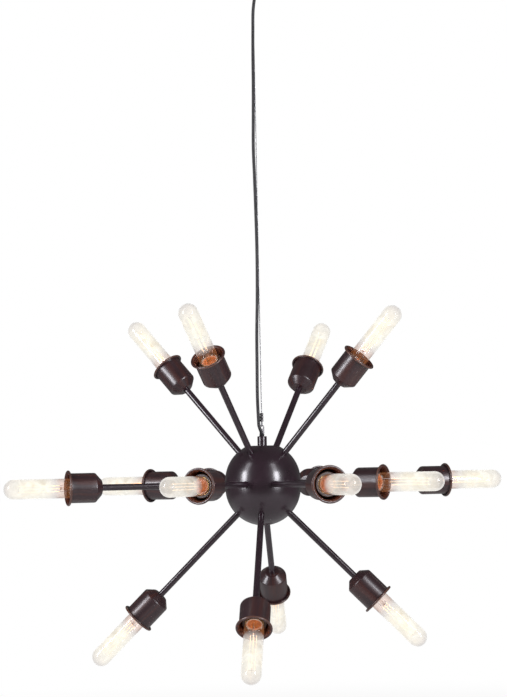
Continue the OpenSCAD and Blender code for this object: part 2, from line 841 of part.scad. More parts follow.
// Glass envelope with its stem, the screw cap, and the filament cage that the stem carries
module bulb(arm) {
    tube_r = glass_d / 2;
    in_r = tube_r - glass_wall;
    neck = cap_d / 2 - cap_wall;
    in_neck = neck - glass_wall;
    shoulder_r = tube_r - shoulder_w;
    shoulder_h = glass_tube_start - cap_top - shoulder_gap;
    tip_z = glass_tip - tube_r;
    stem_top = glass_neck + stem_len;
    color([0.95, 0.9, 0.75, 0.5])
        on_arm(arm, arm[3] - cup_h) {
            rotate_extrude()
                polygon(concat(
                    [[0, glass_neck], [neck, glass_neck], [neck, cap_top + glass_neck_rise]],
                    arc(shoulder_r, glass_tube_start, shoulder_w, shoulder_h, -40, 0, 4),
                    arc(0, tip_z, tube_r, tube_r, 0, 90, 16),
                    arc(0, tip_z, in_r, in_r, 90, 0, 16),
                    arc(shoulder_r, glass_tube_start, shoulder_w - glass_wall, shoulder_h, 0, -40, 4),
                    [[in_neck, cap_top + glass_neck_rise], [in_neck, glass_neck + foot_rim_h]],
                    [[foot_mid_r, glass_neck + foot_mid_h], [glass_stem_r, glass_neck + foot_top_h]],
                    [[glass_stem_r, stem_top - stem_tip_t], [0, stem_top - stem_tip_t]]
                ));
            rotate_extrude()
                polygon([
                    [0, cap_tip], [cap_tip_r, cap_tip], [cap_tip_r, cap_tip + cap_button_h],
                    [cap_insulator_r, cap_tip + cap_button_h + cap_insulator_h],
                    [cap_d / 2 - cap_edge, cap_body - cap_edge], [cap_d / 2, cap_body], [cap_d / 2, cap_top],
                    [neck + seat, cap_top], [neck + seat, glass_neck - seat], [0, glass_neck - seat]
                ]);
            bar(wire_r, stem_top - wire_sunk, stem_top + filament_len + disc_t / 2);
            cage_disc(stem_top, disc_t);
            cage_disc(stem_top + filament_len, disc_t);
            for (i = [1:filaments])
                rotate([0, 0, 360 * i / filaments])
                    translate([cage_r, 0, 0])
                        bar(filament_d / 2, stem_top + disc_t / 2, stem_top + filament_len + disc_t / 2);
        }
}

ceiling_bracket();
canopy();
hanger_stem();
stem_locknut();
collar_nut();
cord_gland();
terminal_block();
cable_ball();
steel_cable();
power_cord();
cable_ferrule();
hanging_eye();
ball_collar();
tie_rod();
ball_upper_shell();
ball_lower_shell();
hub_ring();
junction_block();
arm_tubes(UPPER);  // upper_arms
arm_tubes([for (i = FOUR) long_arm(i)]);  // long_arms
arm_tubes([for (i = FOUR) short_arm(i)]);  // short_arms
arm_tubes(LOWER);  // lower_arms
arm_locknuts();
lamp_leads();
lampholder_bodies();
lampholder_shells();
lampholder_contacts();
for (i = FOUR) {
    cup(upper_arm(i));
    cup(long_arm(i));
    cup(short_arm(i));
    cup(lower_arm(i));
    bulb(upper_arm(i));
    bulb(long_arm(i));
    bulb(short_arm(i));
    bulb(lower_arm(i));
}
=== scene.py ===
import json
import math

import bmesh
import bpy
import numpy as np
from bpy.props import FloatProperty, FloatVectorProperty, IntProperty, PointerProperty
from bpy.types import Operator, Panel, PropertyGroup
from mathutils import Matrix, Vector


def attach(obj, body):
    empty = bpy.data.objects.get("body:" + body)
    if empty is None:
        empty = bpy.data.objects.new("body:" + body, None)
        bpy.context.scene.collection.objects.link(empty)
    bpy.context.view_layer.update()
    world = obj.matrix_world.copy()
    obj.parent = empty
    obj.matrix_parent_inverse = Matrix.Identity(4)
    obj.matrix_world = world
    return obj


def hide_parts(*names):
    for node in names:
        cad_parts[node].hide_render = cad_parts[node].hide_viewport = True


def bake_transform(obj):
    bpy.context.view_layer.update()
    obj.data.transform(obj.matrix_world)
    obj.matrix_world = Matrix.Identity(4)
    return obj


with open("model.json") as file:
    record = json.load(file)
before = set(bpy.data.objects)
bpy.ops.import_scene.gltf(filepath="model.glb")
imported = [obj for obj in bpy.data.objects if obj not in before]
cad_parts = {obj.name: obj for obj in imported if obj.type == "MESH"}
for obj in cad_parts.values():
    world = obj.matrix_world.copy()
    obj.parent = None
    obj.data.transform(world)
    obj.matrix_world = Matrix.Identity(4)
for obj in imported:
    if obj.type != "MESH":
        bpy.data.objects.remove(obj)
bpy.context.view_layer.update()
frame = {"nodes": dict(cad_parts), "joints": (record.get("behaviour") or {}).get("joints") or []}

bl_info = {
    "name": "Sixteen lamp pendant",
    "version": (1, 0, 0),
    "blender": (4, 5, 0),
    "location": "3D View > Sidebar > Pendant",
    "description": "Bulbs, cups, cords, finishes and studio of a pendant light",
    "category": "Object",
}

MM = 0.001
RINGS = ("upper", "long", "short", "lower")
LAMPS = [f"{ring}_{i}" for ring in RINGS for i in range(1, 5)]
FULL_TURN = 2 * math.pi
WHITE = (1.0, 1.0, 1.0, 1.0)
SHARP = math.radians(40)


# ---------------------------------------------------------------- sizes and colours

def length(name, description, default, low, high):
    """A length that a user may change, in metres."""
    return FloatProperty(name=name, description=description, default=default, min=low, max=high,
                         precision=5, subtype="DISTANCE")


def colour(name, description, default):
    """A colour that a user may change, in linear values."""
    return FloatVectorProperty(name=name, description=description, default=default, min=0, max=1, subtype="COLOR")


class PendantSizes(PropertyGroup):
    """Sizes that the pieces are made from"""

    glass_wall: length("Glass wall", "Thickness of a bulb's glass", 0.0008, 0.0004, 0.0015)
    filament_r: length("Filament radius", "Radius of the wire that a glowing strand is wound on", 0.0007, 0.0002, 0.001)
    filaments: IntProperty(name="Filaments", description="Glowing strands in a bulb", default=4, min=2, max=8)
    cord_r: length("Cord radius", "Radius of the power cord", 0.0025, 0.0015, 0.004)
    cable_r: length("Cable radius", "Radius of the steel cable", 0.00075, 0.0005, 0.002)
    cable_lay: length("Lay length", "Length of one turn of a strand of the cable", 0.009, 0.004, 0.020)
    thread_pitch: length("Cap thread pitch", "Pitch of the bulb caps' thread", 0.0036, 0.002, 0.005)
    floor_height: length("Floor height", "Height of the floor, measured from the ceiling", -1.5, -4.0, -1.2)


class PendantColours(PropertyGroup):
    """Colours of the finishes"""

    bronze: colour("Bronze paint", "Dark bronze paint of the ball and the arms", (0.020, 0.0085, 0.0142))
    spun: colour("Cup paint", "Dark bronze paint of the cups, a little warmer", (0.027, 0.0098, 0.0125))
    # A warmer brown inside the cups than outside, which also paints in the warm light of the bulbs falling inside them.
    inside: colour("Inside of a cup", "Thin warm paint inside the cups", (0.045, 0.014, 0.007))
    cord: colour("Cord", "Sleeve of the power cord", (0.012, 0.011, 0.013))
    steel: colour("Steel", "Bare and zinc plated steel", (0.56, 0.56, 0.58))
    brass: colour("Brass", "Brass nuts and thread shells", (0.72, 0.48, 0.20))
    # The foot's copper colour, which also gives the painted orange glow of a lit bulb's foot.
    foot_colour_and_glow: colour("Lit bulb foot", "Copper colour at the foot of a lit bulb", (0.62, 0.15, 0.032))
    glow: colour("Glow", "Light of the filaments", (1.0, 0.80, 0.50))
    # Painted glow that fills a bulb's glass and stands for its filaments' glare.
    painted_glow: colour("Haze", "Light that fills a bulb's glass", (1.0, 0.965, 0.865))
    ember: colour("Ember", "Light that falls from a bulb's foot on its cup", (1.0, 0.47, 0.20))


class PendantLights(PropertyGroup):
    """Strength of the lights"""

    ember_power: FloatProperty(name="Ember power", description="Power of the small light in each bulb",
                               default=0.026, min=0, max=1, precision=3, subtype="POWER")
    studio_share: FloatProperty(name="Studio light", description="Power of the soft boxes against their plain level",
                                default=1.0, min=0, max=2, subtype="FACTOR")


# ---------------------------------------------------------------- node trees

def add(tree, kind, inputs=None, **settings):
    """Adds a node, with settings for its properties and values for its inputs."""
    node = tree.nodes.new(kind)
    for key, value in settings.items():
        setattr(node, key, value)
    for key, value in (inputs or {}).items():
        if isinstance(value, bpy.types.NodeSocket):
            tree.links.new(value, node.inputs[key])
        else:
            node.inputs[key].default_value = value
    return node


def maths(tree, operation, *values):
    """Result of a Math node on sockets or numbers."""
    return add(tree, "ShaderNodeMath", dict(enumerate(values)), operation=operation).outputs[0]


def product(tree, *values):
    """Product of sockets or numbers."""
    result = values[0]
    for value in values[1:]:
        result = maths(tree, "MULTIPLY", result, value)
    return result


def vectors(tree, operation, *values):
    """Result of a Vector Math node on sockets or vectors."""
    return add(tree, "ShaderNodeVectorMath", dict(enumerate(values)), operation=operation).outputs[0]


def stretched(tree, vector, scale):
    """A vector or colour times a number."""
    return add(tree, "ShaderNodeVectorMath", {0: vector, "Scale": scale}, operation="SCALE").outputs[0]


def vector_length(tree, vector):
    """Length of a vector."""
    return add(tree, "ShaderNodeVectorMath", {0: vector}, operation="LENGTH").outputs["Value"]


def remap(tree, value, low, high, to_low=0.0, to_high=1.0, **settings):
    """A value moved from one range to another, and kept inside it."""
    ranges = {"Value": value, "From Min": low, "From Max": high, "To Min": to_low, "To Max": to_high}
    return add(tree, "ShaderNodeMapRange", ranges, **settings).outputs[0]


def noise(tree, vector, scale, **inputs):
    """Outputs of a Noise Texture: its value and its colour."""
    return add(tree, "ShaderNodeTexNoise", {"Vector": vector, "Scale": scale, **inputs}).outputs


def mixed(tree, share, low, high):
    """Colour between two colours or sockets by a share."""
    return add(tree, "ShaderNodeMix", {0: share, 6: low, 7: high}, data_type="RGBA").outputs[2]


def marked(tree, mark):
    """An attribute that a piece's points carry."""
    return add(tree, "ShaderNodeAttribute", attribute_name=mark).outputs["Fac"]


def placed(tree, group, **inputs):
    """Outputs of a shader node group, placed with its own values."""
    return add(tree, "ShaderNodeGroup", inputs, node_tree=bpy.data.node_groups[group]).outputs


def scaled(tone, share):
    """A colour made darker or lighter, with alpha."""
    return [min(1.0, c * share) for c in tone] + [1.0]


def new_tree(name, kind, inputs, outputs):
    """A node group with its sockets, its group input and its group output."""
    tree = bpy.data.node_groups.new(name, kind)
    for direction, sockets in (("INPUT", inputs), ("OUTPUT", outputs)):
        for label, socket in sockets.items():
            made = tree.interface.new_socket(label, in_out=direction, socket_type="NodeSocket" + socket[0])
            if len(socket) > 1:
                made.default_value = socket[1]
    return tree, tree.nodes.new("NodeGroupInput").outputs, tree.nodes.new("NodeGroupOutput").inputs


# ---------------------------------------------------------------- shader node groups

def fine_grain():
    """Orange peel and slow colour changes of a painted, plated or moulded surface."""
    tree, given, put = new_tree(
        "fine_grain", "ShaderNodeTree",
        {"Vector": ("Vector",), "Scale": ("Float", 900.0), "Patches": ("Float", 30.0)},
        {"Mask": ("Float",), "Height": ("Float",)},
    )
    fine_share = 0.35
    fine = noise(tree, given["Vector"], given["Scale"], Detail=2.0)[0]
    slow = noise(tree, given["Vector"], given["Patches"], Detail=4.0, Roughness=0.6)[0]
    patches = product(tree, remap(tree, slow, 0.35, 0.65), 1 - fine_share)
    tree.links.new(maths(tree, "MULTIPLY_ADD", fine, fine_share, patches), put["Mask"])
    tree.links.new(fine, put["Height"])


def drawn_lines():
    """Fine lines along one direction of a UV map, as spinning, drawing and moulding leave them."""
    tree, given, put = new_tree(
        "drawn_lines", "ShaderNodeTree",
        {"Vector": ("Vector",), "Along": ("Float", 2.0), "Across": ("Float", 1500.0)},
        {"Mask": ("Float",)},
    )
    uv = add(tree, "ShaderNodeSeparateXYZ", {0: given["Vector"]}).outputs
    turn = product(tree, uv["X"], FULL_TURN)
    ring = add(tree, "ShaderNodeCombineXYZ", {
        "X": product(tree, maths(tree, "COSINE", turn), given["Along"]),
        "Y": product(tree, maths(tree, "SINE", turn), given["Along"]),
        "Z": product(tree, uv["Y"], given["Across"]),
    }).outputs[0]
    tree.links.new(noise(tree, ring, 1.0, Detail=3.0)[0], put["Mask"])


def settled_dust():
    """Thin dust on faces that look up, broken up by noise."""
    tree, given, put = new_tree(
        "settled_dust", "ShaderNodeTree",
        {"Vector": ("Vector",), "Amount": ("Float", 0.2)},
        {"Mask": ("Float",)},
    )
    normal = add(tree, "ShaderNodeNewGeometry").outputs["Normal"]
    up = remap(tree, add(tree, "ShaderNodeSeparateXYZ", {0: normal}).outputs["Z"], 0.35, 1.0)
    broken = noise(tree, given["Vector"], 140.0, Detail=5.0)[0]
    tree.links.new(product(tree, up, broken, given["Amount"]), put["Mask"])


# ---------------------------------------------------------------- finishes

DUST = (0.35, 0.33, 0.31, 1.0)


def finish(name, tone, rough, grain=900.0, patches=30.0, vary=0.2, rough_vary=0.06, peel=0.00001,
           dust=0.0, lines=0.0, line_depth=0.0, painted_reflection_streak=None, wear=None, sockets=None):
    """A material with grain and slow changes, and where it has them, drawn lines, painted reflection streaks, wear with
    a painted sheen, and dust.

    Grain, patches and lines are counts a metre, and peel is the height of the grain in metres.
    """
    plain = bpy.data.materials.get(name)
    if plain:
        plain.name = name + "_plain"
    material = bpy.data.materials.new(name)
    material.use_nodes = True
    tree = material.node_tree
    shader = tree.nodes["Principled BSDF"]
    for key, value in (sockets or {}).items():
        shader.inputs[key].default_value = value
    coords = add(tree, "ShaderNodeTexCoord").outputs
    texture = placed(tree, "fine_grain", Vector=coords["Object"], Scale=grain, Patches=patches)
    mask, height = texture["Mask"], texture["Height"]
    base = mixed(tree, mask, scaled(tone, 1 - vary), scaled(tone, 1 + vary))
    roughness = remap(tree, mask, 0.0, 1.0, rough - rough_vary, rough + rough_vary)
    if lines:
        drawn = placed(tree, "drawn_lines", Vector=coords["UV"], Across=lines)["Mask"]
        height = maths(tree, "MULTIPLY_ADD", drawn, line_depth, height)
    # Painted reflection: lengthwise streaks of warm colour stand for the bulbs' light reflected on the cups.
    if painted_reflection_streak:
        drawn = placed(tree, "drawn_lines", Vector=coords["UV"], Along=3.0, Across=14.0)["Mask"]
        base = mixed(tree, remap(tree, drawn, 0.46, 0.66), base, (*painted_reflection_streak, 1.0))
    # Wear on the marked edges, whose lighter warm colour also paints a sheen along the lip.
    if wear:
        edge = product(tree, marked(tree, "wear"), maths(tree, "ADD", mask, 0.35))
        base = mixed(tree, edge, base, (*wear, 1.0))
    if dust:
        film = placed(tree, "settled_dust", Vector=coords["Object"], Amount=dust)["Mask"]
        base = mixed(tree, film, base, DUST)
        roughness = maths(tree, "MULTIPLY_ADD", film, 0.5, roughness)
    bump = add(tree, "ShaderNodeBump", {"Height": height, "Distance": peel, "Strength": 1.0})
    tree.links.new(base, shader.inputs["Base Color"])
    tree.links.new(roughness, shader.inputs["Roughness"])
    tree.links.new(bump.outputs[0], shader.inputs["Normal"])
    return material


def lit_finish(material, light, strength):
    """Gives a material its light. Its faces are too many and too dim to be sampled as lamps."""
    shader = material.node_tree.nodes["Principled BSDF"]
    material.node_tree.links.new(light, shader.inputs["Emission Color"])
    shader.inputs["Emission Strength"].default_value = strength
    material.cycles.emission_sampling = "NONE"


def glass_finish(colours):
    """Clear glass with painted shade that turns its edges grey and a painted highlight that outlines them, filled by a
    painted glow for the uneven glare of its filaments, with painted orange reflections of the lit foot in its clear
    neck.

    The mark lit is 0 in the clear neck, 1 along the strands and 0.4 at the tip. A look through a bulb crosses
    four surfaces, and each adds its light and lets the square root of the base colour through.
    """
    material = finish("bulb_glass", WHITE[:3], 0.004, grain=250.0, patches=60.0, vary=0.0, rough_vary=0.003,
                      peel=0.000002, sockets={"Transmission Weight": 1.0, "IOR": 1.28})
    tree = material.node_tree
    facing = add(tree, "ShaderNodeLayerWeight", {"Blend": 0.5}).outputs["Facing"]
    edge = maths(tree, "POWER", facing, 1.6)
    lit = marked(tree, "lit")
    past_neck, along_strands = remap(tree, lit, 0.0, 0.4), remap(tree, lit, 0.4, 1.0)
    uv = add(tree, "ShaderNodeTexCoord").outputs["UV"]
    drawn_out = add(tree, "ShaderNodeMapping", {"Vector": uv, "Scale": (5.0, 55.0, 1.0)}).outputs[0]
    swirl = noise(tree, drawn_out, 1.0, Detail=4.0, Roughness=0.62, Distortion=1.2)
    uneven = remap(tree, swirl[0], 0.3, 0.7, 0.76, 1.22)
    second_swirl = add(tree, "ShaderNodeSeparateColor", {0: swirl[1]}).outputs[1]
    warm = remap(tree, second_swirl, 0.46, 0.66, 0.0, 0.75)

    let_through = mixed(tree, lit, (0.86, 0.83, 0.81, 1.0), (0.24, 0.245, 0.245, 1.0))
    # Painted shade: the base colour turns grey towards the edges.
    base = mixed(tree, edge, let_through, (0.30, 0.30, 0.30, 1.0))
    tree.links.new(base, tree.nodes["Principled BSDF"].inputs["Base Color"])

    # Painted reflection: warm orange streaks in the clear neck stand for the lit foot seen in the glass.
    neck = mixed(tree, warm, (0.012, 0.005, 0.002, 1.0), (0.11, 0.036, 0.010, 1.0))
    # Painted glow: the glass gives off light for the filaments' glare, strongest along the strands.
    middle = mixed(tree, warm, scaled(colours.painted_glow, 0.53), (0.53, 0.46, 0.35, 1.0))
    painted_glow = mixed(tree, past_neck, neck, (0.16, 0.155, 0.15, 1.0))
    painted_glow = stretched(tree, mixed(tree, along_strands, painted_glow, middle), uneven)
    # Painted highlight: a bright outline where the glass turns edge-on, warm in the neck.
    rim = mixed(tree, past_neck, (0.07, 0.026, 0.010, 1.0), (0.235, 0.228, 0.222, 1.0))
    lit_finish(material, mixed(tree, edge, painted_glow, rim), 1.0)


def filament_finish(colours):
    """Glowing strand with the fine unevenness of a wound wire."""
    material = finish("filament_glow", (0.8, 0.5, 0.3), 0.5, peel=0.00005)
    tree = material.node_tree
    uv = add(tree, "ShaderNodeTexCoord").outputs["UV"]
    wound = add(tree, "ShaderNodeTexWave", {"Vector": uv, "Scale": 900.0, "Distortion": 0.0}, bands_direction="Y")
    light = mixed(tree, wound.outputs[1], scaled(colours.glow, 0.7), scaled(colours.glow, 1.0))
    lit_finish(material, light, 1.0)


def foot_finish(colours):
    """Copper coloured foot of a lit bulb, with a painted orange glow in streaks for the filaments' light on it, and a
    painted highlight ring where it is marked lit.
    """
    material = finish("bulb_foot", scaled(colours.foot_colour_and_glow, 0.3)[:3], 0.35)
    tree = material.node_tree
    uv = add(tree, "ShaderNodeTexCoord").outputs["UV"]
    drawn_out = add(tree, "ShaderNodeMapping", {"Vector": uv, "Scale": (8.0, 100.0, 1.0)}).outputs[0]
    # Painted light: the foot glows orange in streaks for the filaments' light falling on it.
    streaks = remap(tree, noise(tree, drawn_out, 1.0, Detail=3.0, Distortion=0.6)[0], 0.36, 0.70)
    streaked = mixed(tree, streaks, scaled(colours.foot_colour_and_glow, 0.5), (0.92, 0.27, 0.05, 1.0))
    # Painted highlight: a pale ring where the mark lit is 1, at the flare's edge.
    lit_finish(material, mixed(tree, marked(tree, "lit"), streaked, (0.90, 0.58, 0.42, 1.0)), 0.36)


def finish_table(colours):
    """Every finish that isn't lit: its colour, its roughness and its other values."""
    metal = {"Metallic": 1.0}
    bronze = dict(grain=1400.0, vary=0.25, rough_vary=0.04, dust=0.01)
    core = dict(grain=1500.0, vary=0.1)
    return {
        "bronze_paint": (colours.bronze, 0.30, dict(
            bronze, patches=24.0, peel=0.000005, sockets={"Coat Weight": 1.0, "Coat Roughness": 0.19})),
        # The cups' streaks are painted reflections of the bulbs' warm light.
        "spun_bronze": (colours.spun, 0.36, dict(
            bronze, patches=30.0, peel=0.0000015, lines=2600.0, line_depth=0.2, painted_reflection_streak=(0.046, 0.0115, 0.0095),
            # The rim's wear colour also paints a warm sheen on the lip.
            wear=(0.11, 0.045, 0.027), sockets={"Coat Weight": 0.9, "Coat Roughness": 0.27})),
        # The warm inside colour also stands for the bulbs' warm light in the cups: painted light.
        "cup_inside": (colours.inside, 0.42, dict(
            grain=1400.0, patches=40.0, vary=0.3, peel=0.000003, lines=1800.0, line_depth=0.5,
            wear=(0.14, 0.055, 0.03))),
        "zinc_steel": (colours.steel, 0.34, dict(grain=700.0, patches=60.0, vary=0.12, sockets=metal)),
        "cable_steel": (colours.steel, 0.28, dict(grain=2500.0, patches=90.0, peel=0.000005, sockets=metal)),
        "ferrule_metal": ((0.17, 0.16, 0.165), 0.30, dict(grain=1500.0, vary=0.3, peel=0.00004, sockets=metal)),
        "brass": (colours.brass, 0.3, dict(patches=80.0, vary=0.15, peel=0.000008, sockets=metal)),
        "cord_black": (colours.cord, 0.42, dict(
            grain=2200.0, patches=40.0, vary=0.25, peel=0.00002, lines=500.0, line_depth=0.5)),
        "black_plastic": ((0.02, 0.02, 0.021), 0.4, dict(grain=2600.0, vary=0.15, peel=0.00002)),
        "terminal_plastic": ((0.70, 0.67, 0.58), 0.45, dict(
            grain=1200.0, vary=0.06, peel=0.00002, sockets={"Subsurface Weight": 0.05})),
        "lead_sleeve": ((0.42, 0.05, 0.03), 0.42, core),
        "core_live": ((0.16, 0.055, 0.02), 0.42, core),
        "core_neutral": ((0.02, 0.10, 0.36), 0.42, core),
        "core_earth": ((0.10, 0.28, 0.03), 0.42, core),
        "holder_plastic": ((0.035, 0.02, 0.015), 0.4, dict(grain=1300.0, peel=0.00002)),
        "cap_insulator": ((0.02, 0.02, 0.03), 0.12, dict(grain=500.0)),
    }


NODE_FINISHES = {
    "bronze_paint": ("canopy", "collar_nut", "hanging_eye", "ball_collar", "ball_upper_shell", "ball_lower_shell",
                     "upper_arms", "long_arms", "short_arms", "lower_arms"),
    "zinc_steel": ("ceiling_bracket", "hanger_stem", "tie_rod", "hub_ring"),
    "cable_steel": ("cable_ball", "steel_cable"),
    "ferrule_metal": ("cable_ferrule",),
    "brass": ("stem_locknut", "arm_locknuts", "lampholder_shells", "lampholder_contacts"),
    "cord_black": ("power_cord",),
    "black_plastic": ("cord_gland",),
    "terminal_plastic": ("terminal_block", "junction_block"),
    "lead_sleeve": ("lamp_leads",),
    "holder_plastic": ("lampholder_bodies",),
}


# ---------------------------------------------------------------- forms

class Form:
    """Points, faces and corner UVs of a piece, with how worn each point is, where the wear also paints a sheen, and how
    lit it is
    """

    def __init__(self):
        self.points, self.faces, self.uvs, self.slots = [], [], [], []
        self.marks = {"wear": [], "lit": []}

    def add(self, points, faces, uvs, slots=None, marks=None):
        """Adds points and faces. Without slots and marks, they are in the first slot, with no wear or painted sheen,
        and not lit.
        """
        first = len(self.points)
        self.points += [tuple(p) for p in points]
        self.faces += [tuple(first + i for i in face) for face in faces]
        self.uvs += uvs
        self.slots += slots or [0] * len(faces)
        for key, values in self.marks.items():
            values += marks[key] if marks else [0.0] * len(points)
        return self

    def join(self, other, slot=None):
        """Adds another form, with its own slots or all in one."""
        slots = other.slots if slot is None else [slot] * len(other.faces)
        return self.add(other.points, other.faces, other.uvs, slots, other.marks)

    def mesh(self, name, at=None):
        """Mesh in metres, moved by a matrix, with its doubles merged and smooth shading."""
        mesh = bpy.data.meshes.new(name)
        points = np.array(self.points, float) * MM
        if at is not None:
            turn = np.array(at)
            points = points @ turn[:3, :3].T + turn[:3, 3]
        mesh.from_pydata(points.tolist(), [], self.faces)
        layer = mesh.uv_layers.new(name="UVMap")
        layer.data.foreach_set("uv", np.array([c for uv in self.uvs for c in uv], np.float32).ravel())
        for key, values in self.marks.items():
            attribute = mesh.attributes.new(key, "FLOAT", "POINT")
            attribute.data.foreach_set("value", np.array(values, np.float32))
        mesh.polygons.foreach_set("material_index", self.slots)
        mesh.polygons.foreach_set("use_smooth", [True] * len(self.faces))
        weld(mesh, [mesh])
        mesh.set_sharp_from_angle(angle=SHARP)
        mesh.update()
        return mesh


def weld(mesh, parts, doubles=1e-6):
    """Puts meshes together in one, with points merged that are closer than a distance in metres."""
    whole = bmesh.new()
    for part in parts:
        whole.from_mesh(part)
    bmesh.ops.remove_doubles(whole, verts=whole.verts, dist=doubles)
    whole.to_mesh(mesh)
    whole.free()


def lathe(profile, sides=48, slot=0, wear=None, lit=None, inside=None):
    """Turns a profile of [radius, height] about Z. Going up the outside and down the inside faces it outwards.

    From the point numbered inside, its faces take the next slot. The wear mark, which also paints a sheen, and the lit
    mark are given from radius and height.
    """
    points, rings, faces, uvs, slots, marks = [], [], [], [], [], {"wear": [], "lit": []}
    along = [0.0]
    for a, b in zip(profile, profile[1:]):
        along.append(along[-1] + math.dist(a, b))
    corners = [FULL_TURN * k / sides for k in range(sides)]
    for r, z in profile:
        ring = corners if r > 1e-6 else corners[:1]
        rings.append([len(points) + k for k in range(len(ring))])
        points += [(r * math.cos(angle), r * math.sin(angle), z) for angle in ring]
        for key, given in (("wear", wear), ("lit", lit)):
            marks[key] += [given(r, z) if given else 0.0] * len(ring)
    for i, (low, high) in enumerate(zip(rings, rings[1:])):
        start, end = along[i] * MM, along[i + 1] * MM
        for k in range(sides):
            left, right, n = k / sides, (k + 1) / sides, k + 1
            face = [low[k % len(low)], low[n % len(low)], high[n % len(high)], high[k % len(high)]]
            uv = [(left, start), (right, start), (right, end), (left, end)]
            kept = [j for j in range(4) if face[j] != face[j - 1]]
            if len(kept) > 2:
                faces.append([face[j] for j in kept])
                uvs.append([uv[j] for j in kept])
                slots.append(slot + 1 if inside is not None and i >= inside else slot)
    return Form().add(points, faces, uvs, slots, marks)


def arc(cx, cy, rx, ry, start, end, count):
    """Points of an elliptical arc, with its angles in degrees."""
    angles = [math.radians(start + (end - start) * i / count) for i in range(count + 1)]
    return [(cx + rx * math.cos(a), cy + ry * math.sin(a)) for a in angles]


def rounded(a, b, c, r, count):
    """Points that round the corner b between the lines to a and to c."""
    a, b, c = Vector(a), Vector(b), Vector(c)
    u, v = (a - b).normalized(), (c - b).normalized()
    half = u.angle(v) / 2
    centre = b + (u + v).normalized() * r / math.sin(half)
    start, end = b + u * r / math.tan(half) - centre, b + v * r / math.tan(half) - centre
    return [tuple(centre + (start * (count - i) + end * i).normalized() * r) for i in range(count + 1)]


def headings(path):
    """Direction of a path at each of its points."""
    path = np.array(path, float)
    ahead = np.vstack([path[1:], path[-1:]]) - np.vstack([path[:1], path[:-1]])
    return ahead / np.linalg.norm(ahead, axis=1)[:, None]


def tube(path, radius, sides=12):
    """Round tube with closed ends along a path, with its rings turned as little as they can be."""
    path, along = np.array(path, float), headings(path)
    side = np.cross(along[0], [0.0, 1.0, 0.0] if abs(along[0][1]) < 0.9 else [1.0, 0.0, 0.0])
    points, faces, uvs = [], [], []
    lengths = np.concatenate([[0], np.cumsum(np.linalg.norm(np.diff(path, axis=0), axis=1))]) * MM
    corners = [FULL_TURN * k / sides for k in range(sides)]
    for centre, way, r in zip(path, along, np.broadcast_to(radius, len(path))):
        side = side - way * (side @ way)
        side = side / np.linalg.norm(side)
        up = np.cross(way, side)
        points += [centre + r * (math.cos(angle) * side + math.sin(angle) * up) for angle in corners]
    for i in range(len(path) - 1):
        low, high = lengths[i], lengths[i + 1]
        for k in range(sides):
            n = (k + 1) % sides
            faces.append([i * sides + k, i * sides + n, (i + 1) * sides + n, (i + 1) * sides + k])
            uvs.append([(k / sides, low), ((k + 1) / sides, low), ((k + 1) / sides, high), (k / sides, high)])
    last = (len(path) - 1) * sides
    for end in (list(range(sides))[::-1], [last + k for k in range(sides)]):
        faces.append(end)
        uvs.append([(0.5, 0.0)] * sides)
    return Form().add(points, faces, uvs)


def smooth_path(points, pitch):
    """Smooth curve through points, with steps of about the pitch."""
    p = [np.array(q, float) for q in points]
    line = []
    for i in range(len(p) - 1):
        a, b, c, d = p[max(i - 1, 0)], p[i], p[i + 1], p[min(i + 2, len(p) - 1)]
        count = max(1, math.ceil(np.linalg.norm(c - b) / pitch))
        for k in range(count):
            t = k / count
            square, cube = 2 * a - 5 * b + 4 * c - d, 3 * b - a - 3 * c + d
            line.append(0.5 * (2 * b + (c - a) * t + square * t ** 2 + cube * t ** 3))
    return line + [p[-1]]


def in_metres(path):
    """Points in millimetres as plain lists in metres."""
    return [[float(c) * MM for c in p] for p in path]


# ---------------------------------------------------------------- pieces

def shown(name, mesh, finishes):
    """Object of a finished mesh, at the origin, with its finishes."""
    for label in finishes:
        mesh.materials.append(bpy.data.materials[label])
    obj = bpy.data.objects.new(name, mesh)
    bpy.context.scene.collection.objects.link(obj)
    return obj


def carried(obj, body, slot, *stands_for):
    """Says what a piece rides on and hides the nodes that it stands for. Its material slot is not used."""
    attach(obj, body)
    if stands_for:
        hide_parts(*stands_for)
    return obj


def smooth_all(obj):
    """Smooth shading on every face of an object."""
    obj.data.polygons.foreach_set("use_smooth", [True] * len(obj.data.polygons))
    obj.data.update()


def slotted(mesh, index):
    """A mesh with all its faces in one material slot."""
    mesh.polygons.foreach_set("material_index", [index] * len(mesh.polygons))
    return mesh


def raised(mesh, z, index):
    """Copy of a mesh, moved up, with all its faces in one material slot."""
    copy = mesh.copy()
    copy.transform(Matrix.Translation((0, 0, z)))
    return slotted(copy, index)


def merged(obj, extras, place):
    """Joins more meshes to an object's own and puts the whole in its place."""
    weld(obj.data, [obj.data] + list(extras))
    obj.data.transform(place)
    smooth_all(obj)
    obj.data.set_sharp_from_angle(angle=SHARP)


def grow(obj, tree, **values):
    """Runs a tree on an object and leaves the result as the object's plain mesh."""
    modifier = obj.modifiers.new(tree.name, "NODES")
    modifier.node_group = tree
    for item in tree.interface.items_tree:
        key = item.name.replace(" ", "_")
        if item.item_type == "SOCKET" and item.in_out == "INPUT" and key in values:
            modifier[item.identifier] = values.pop(key)
    if values:
        raise RuntimeError(f"{tree.name} has no input {sorted(values)}")
    depsgraph = bpy.context.evaluated_depsgraph_get()
    grown = obj.evaluated_get(depsgraph)
    made = bpy.data.meshes.new_from_object(grown, preserve_all_data_layers=True, depsgraph=depsgraph)
    obj.modifiers.remove(modifier)
    old, obj.data = obj.data, made
    bpy.data.meshes.remove(old)
    made.name = obj.name
    return obj


# ---------------------------------------------------------------- geometry node trees

def finished(tree, geometry, material, put):
    """Ends a tree in Realize Instances and Set Material."""
    plain = add(tree, "GeometryNodeRealizeInstances", {0: geometry})
    done = add(tree, "GeometryNodeSetMaterial", {"Geometry": plain.outputs[0], "Material": material})
    tree.links.new(done.outputs[0], put["Geometry"])


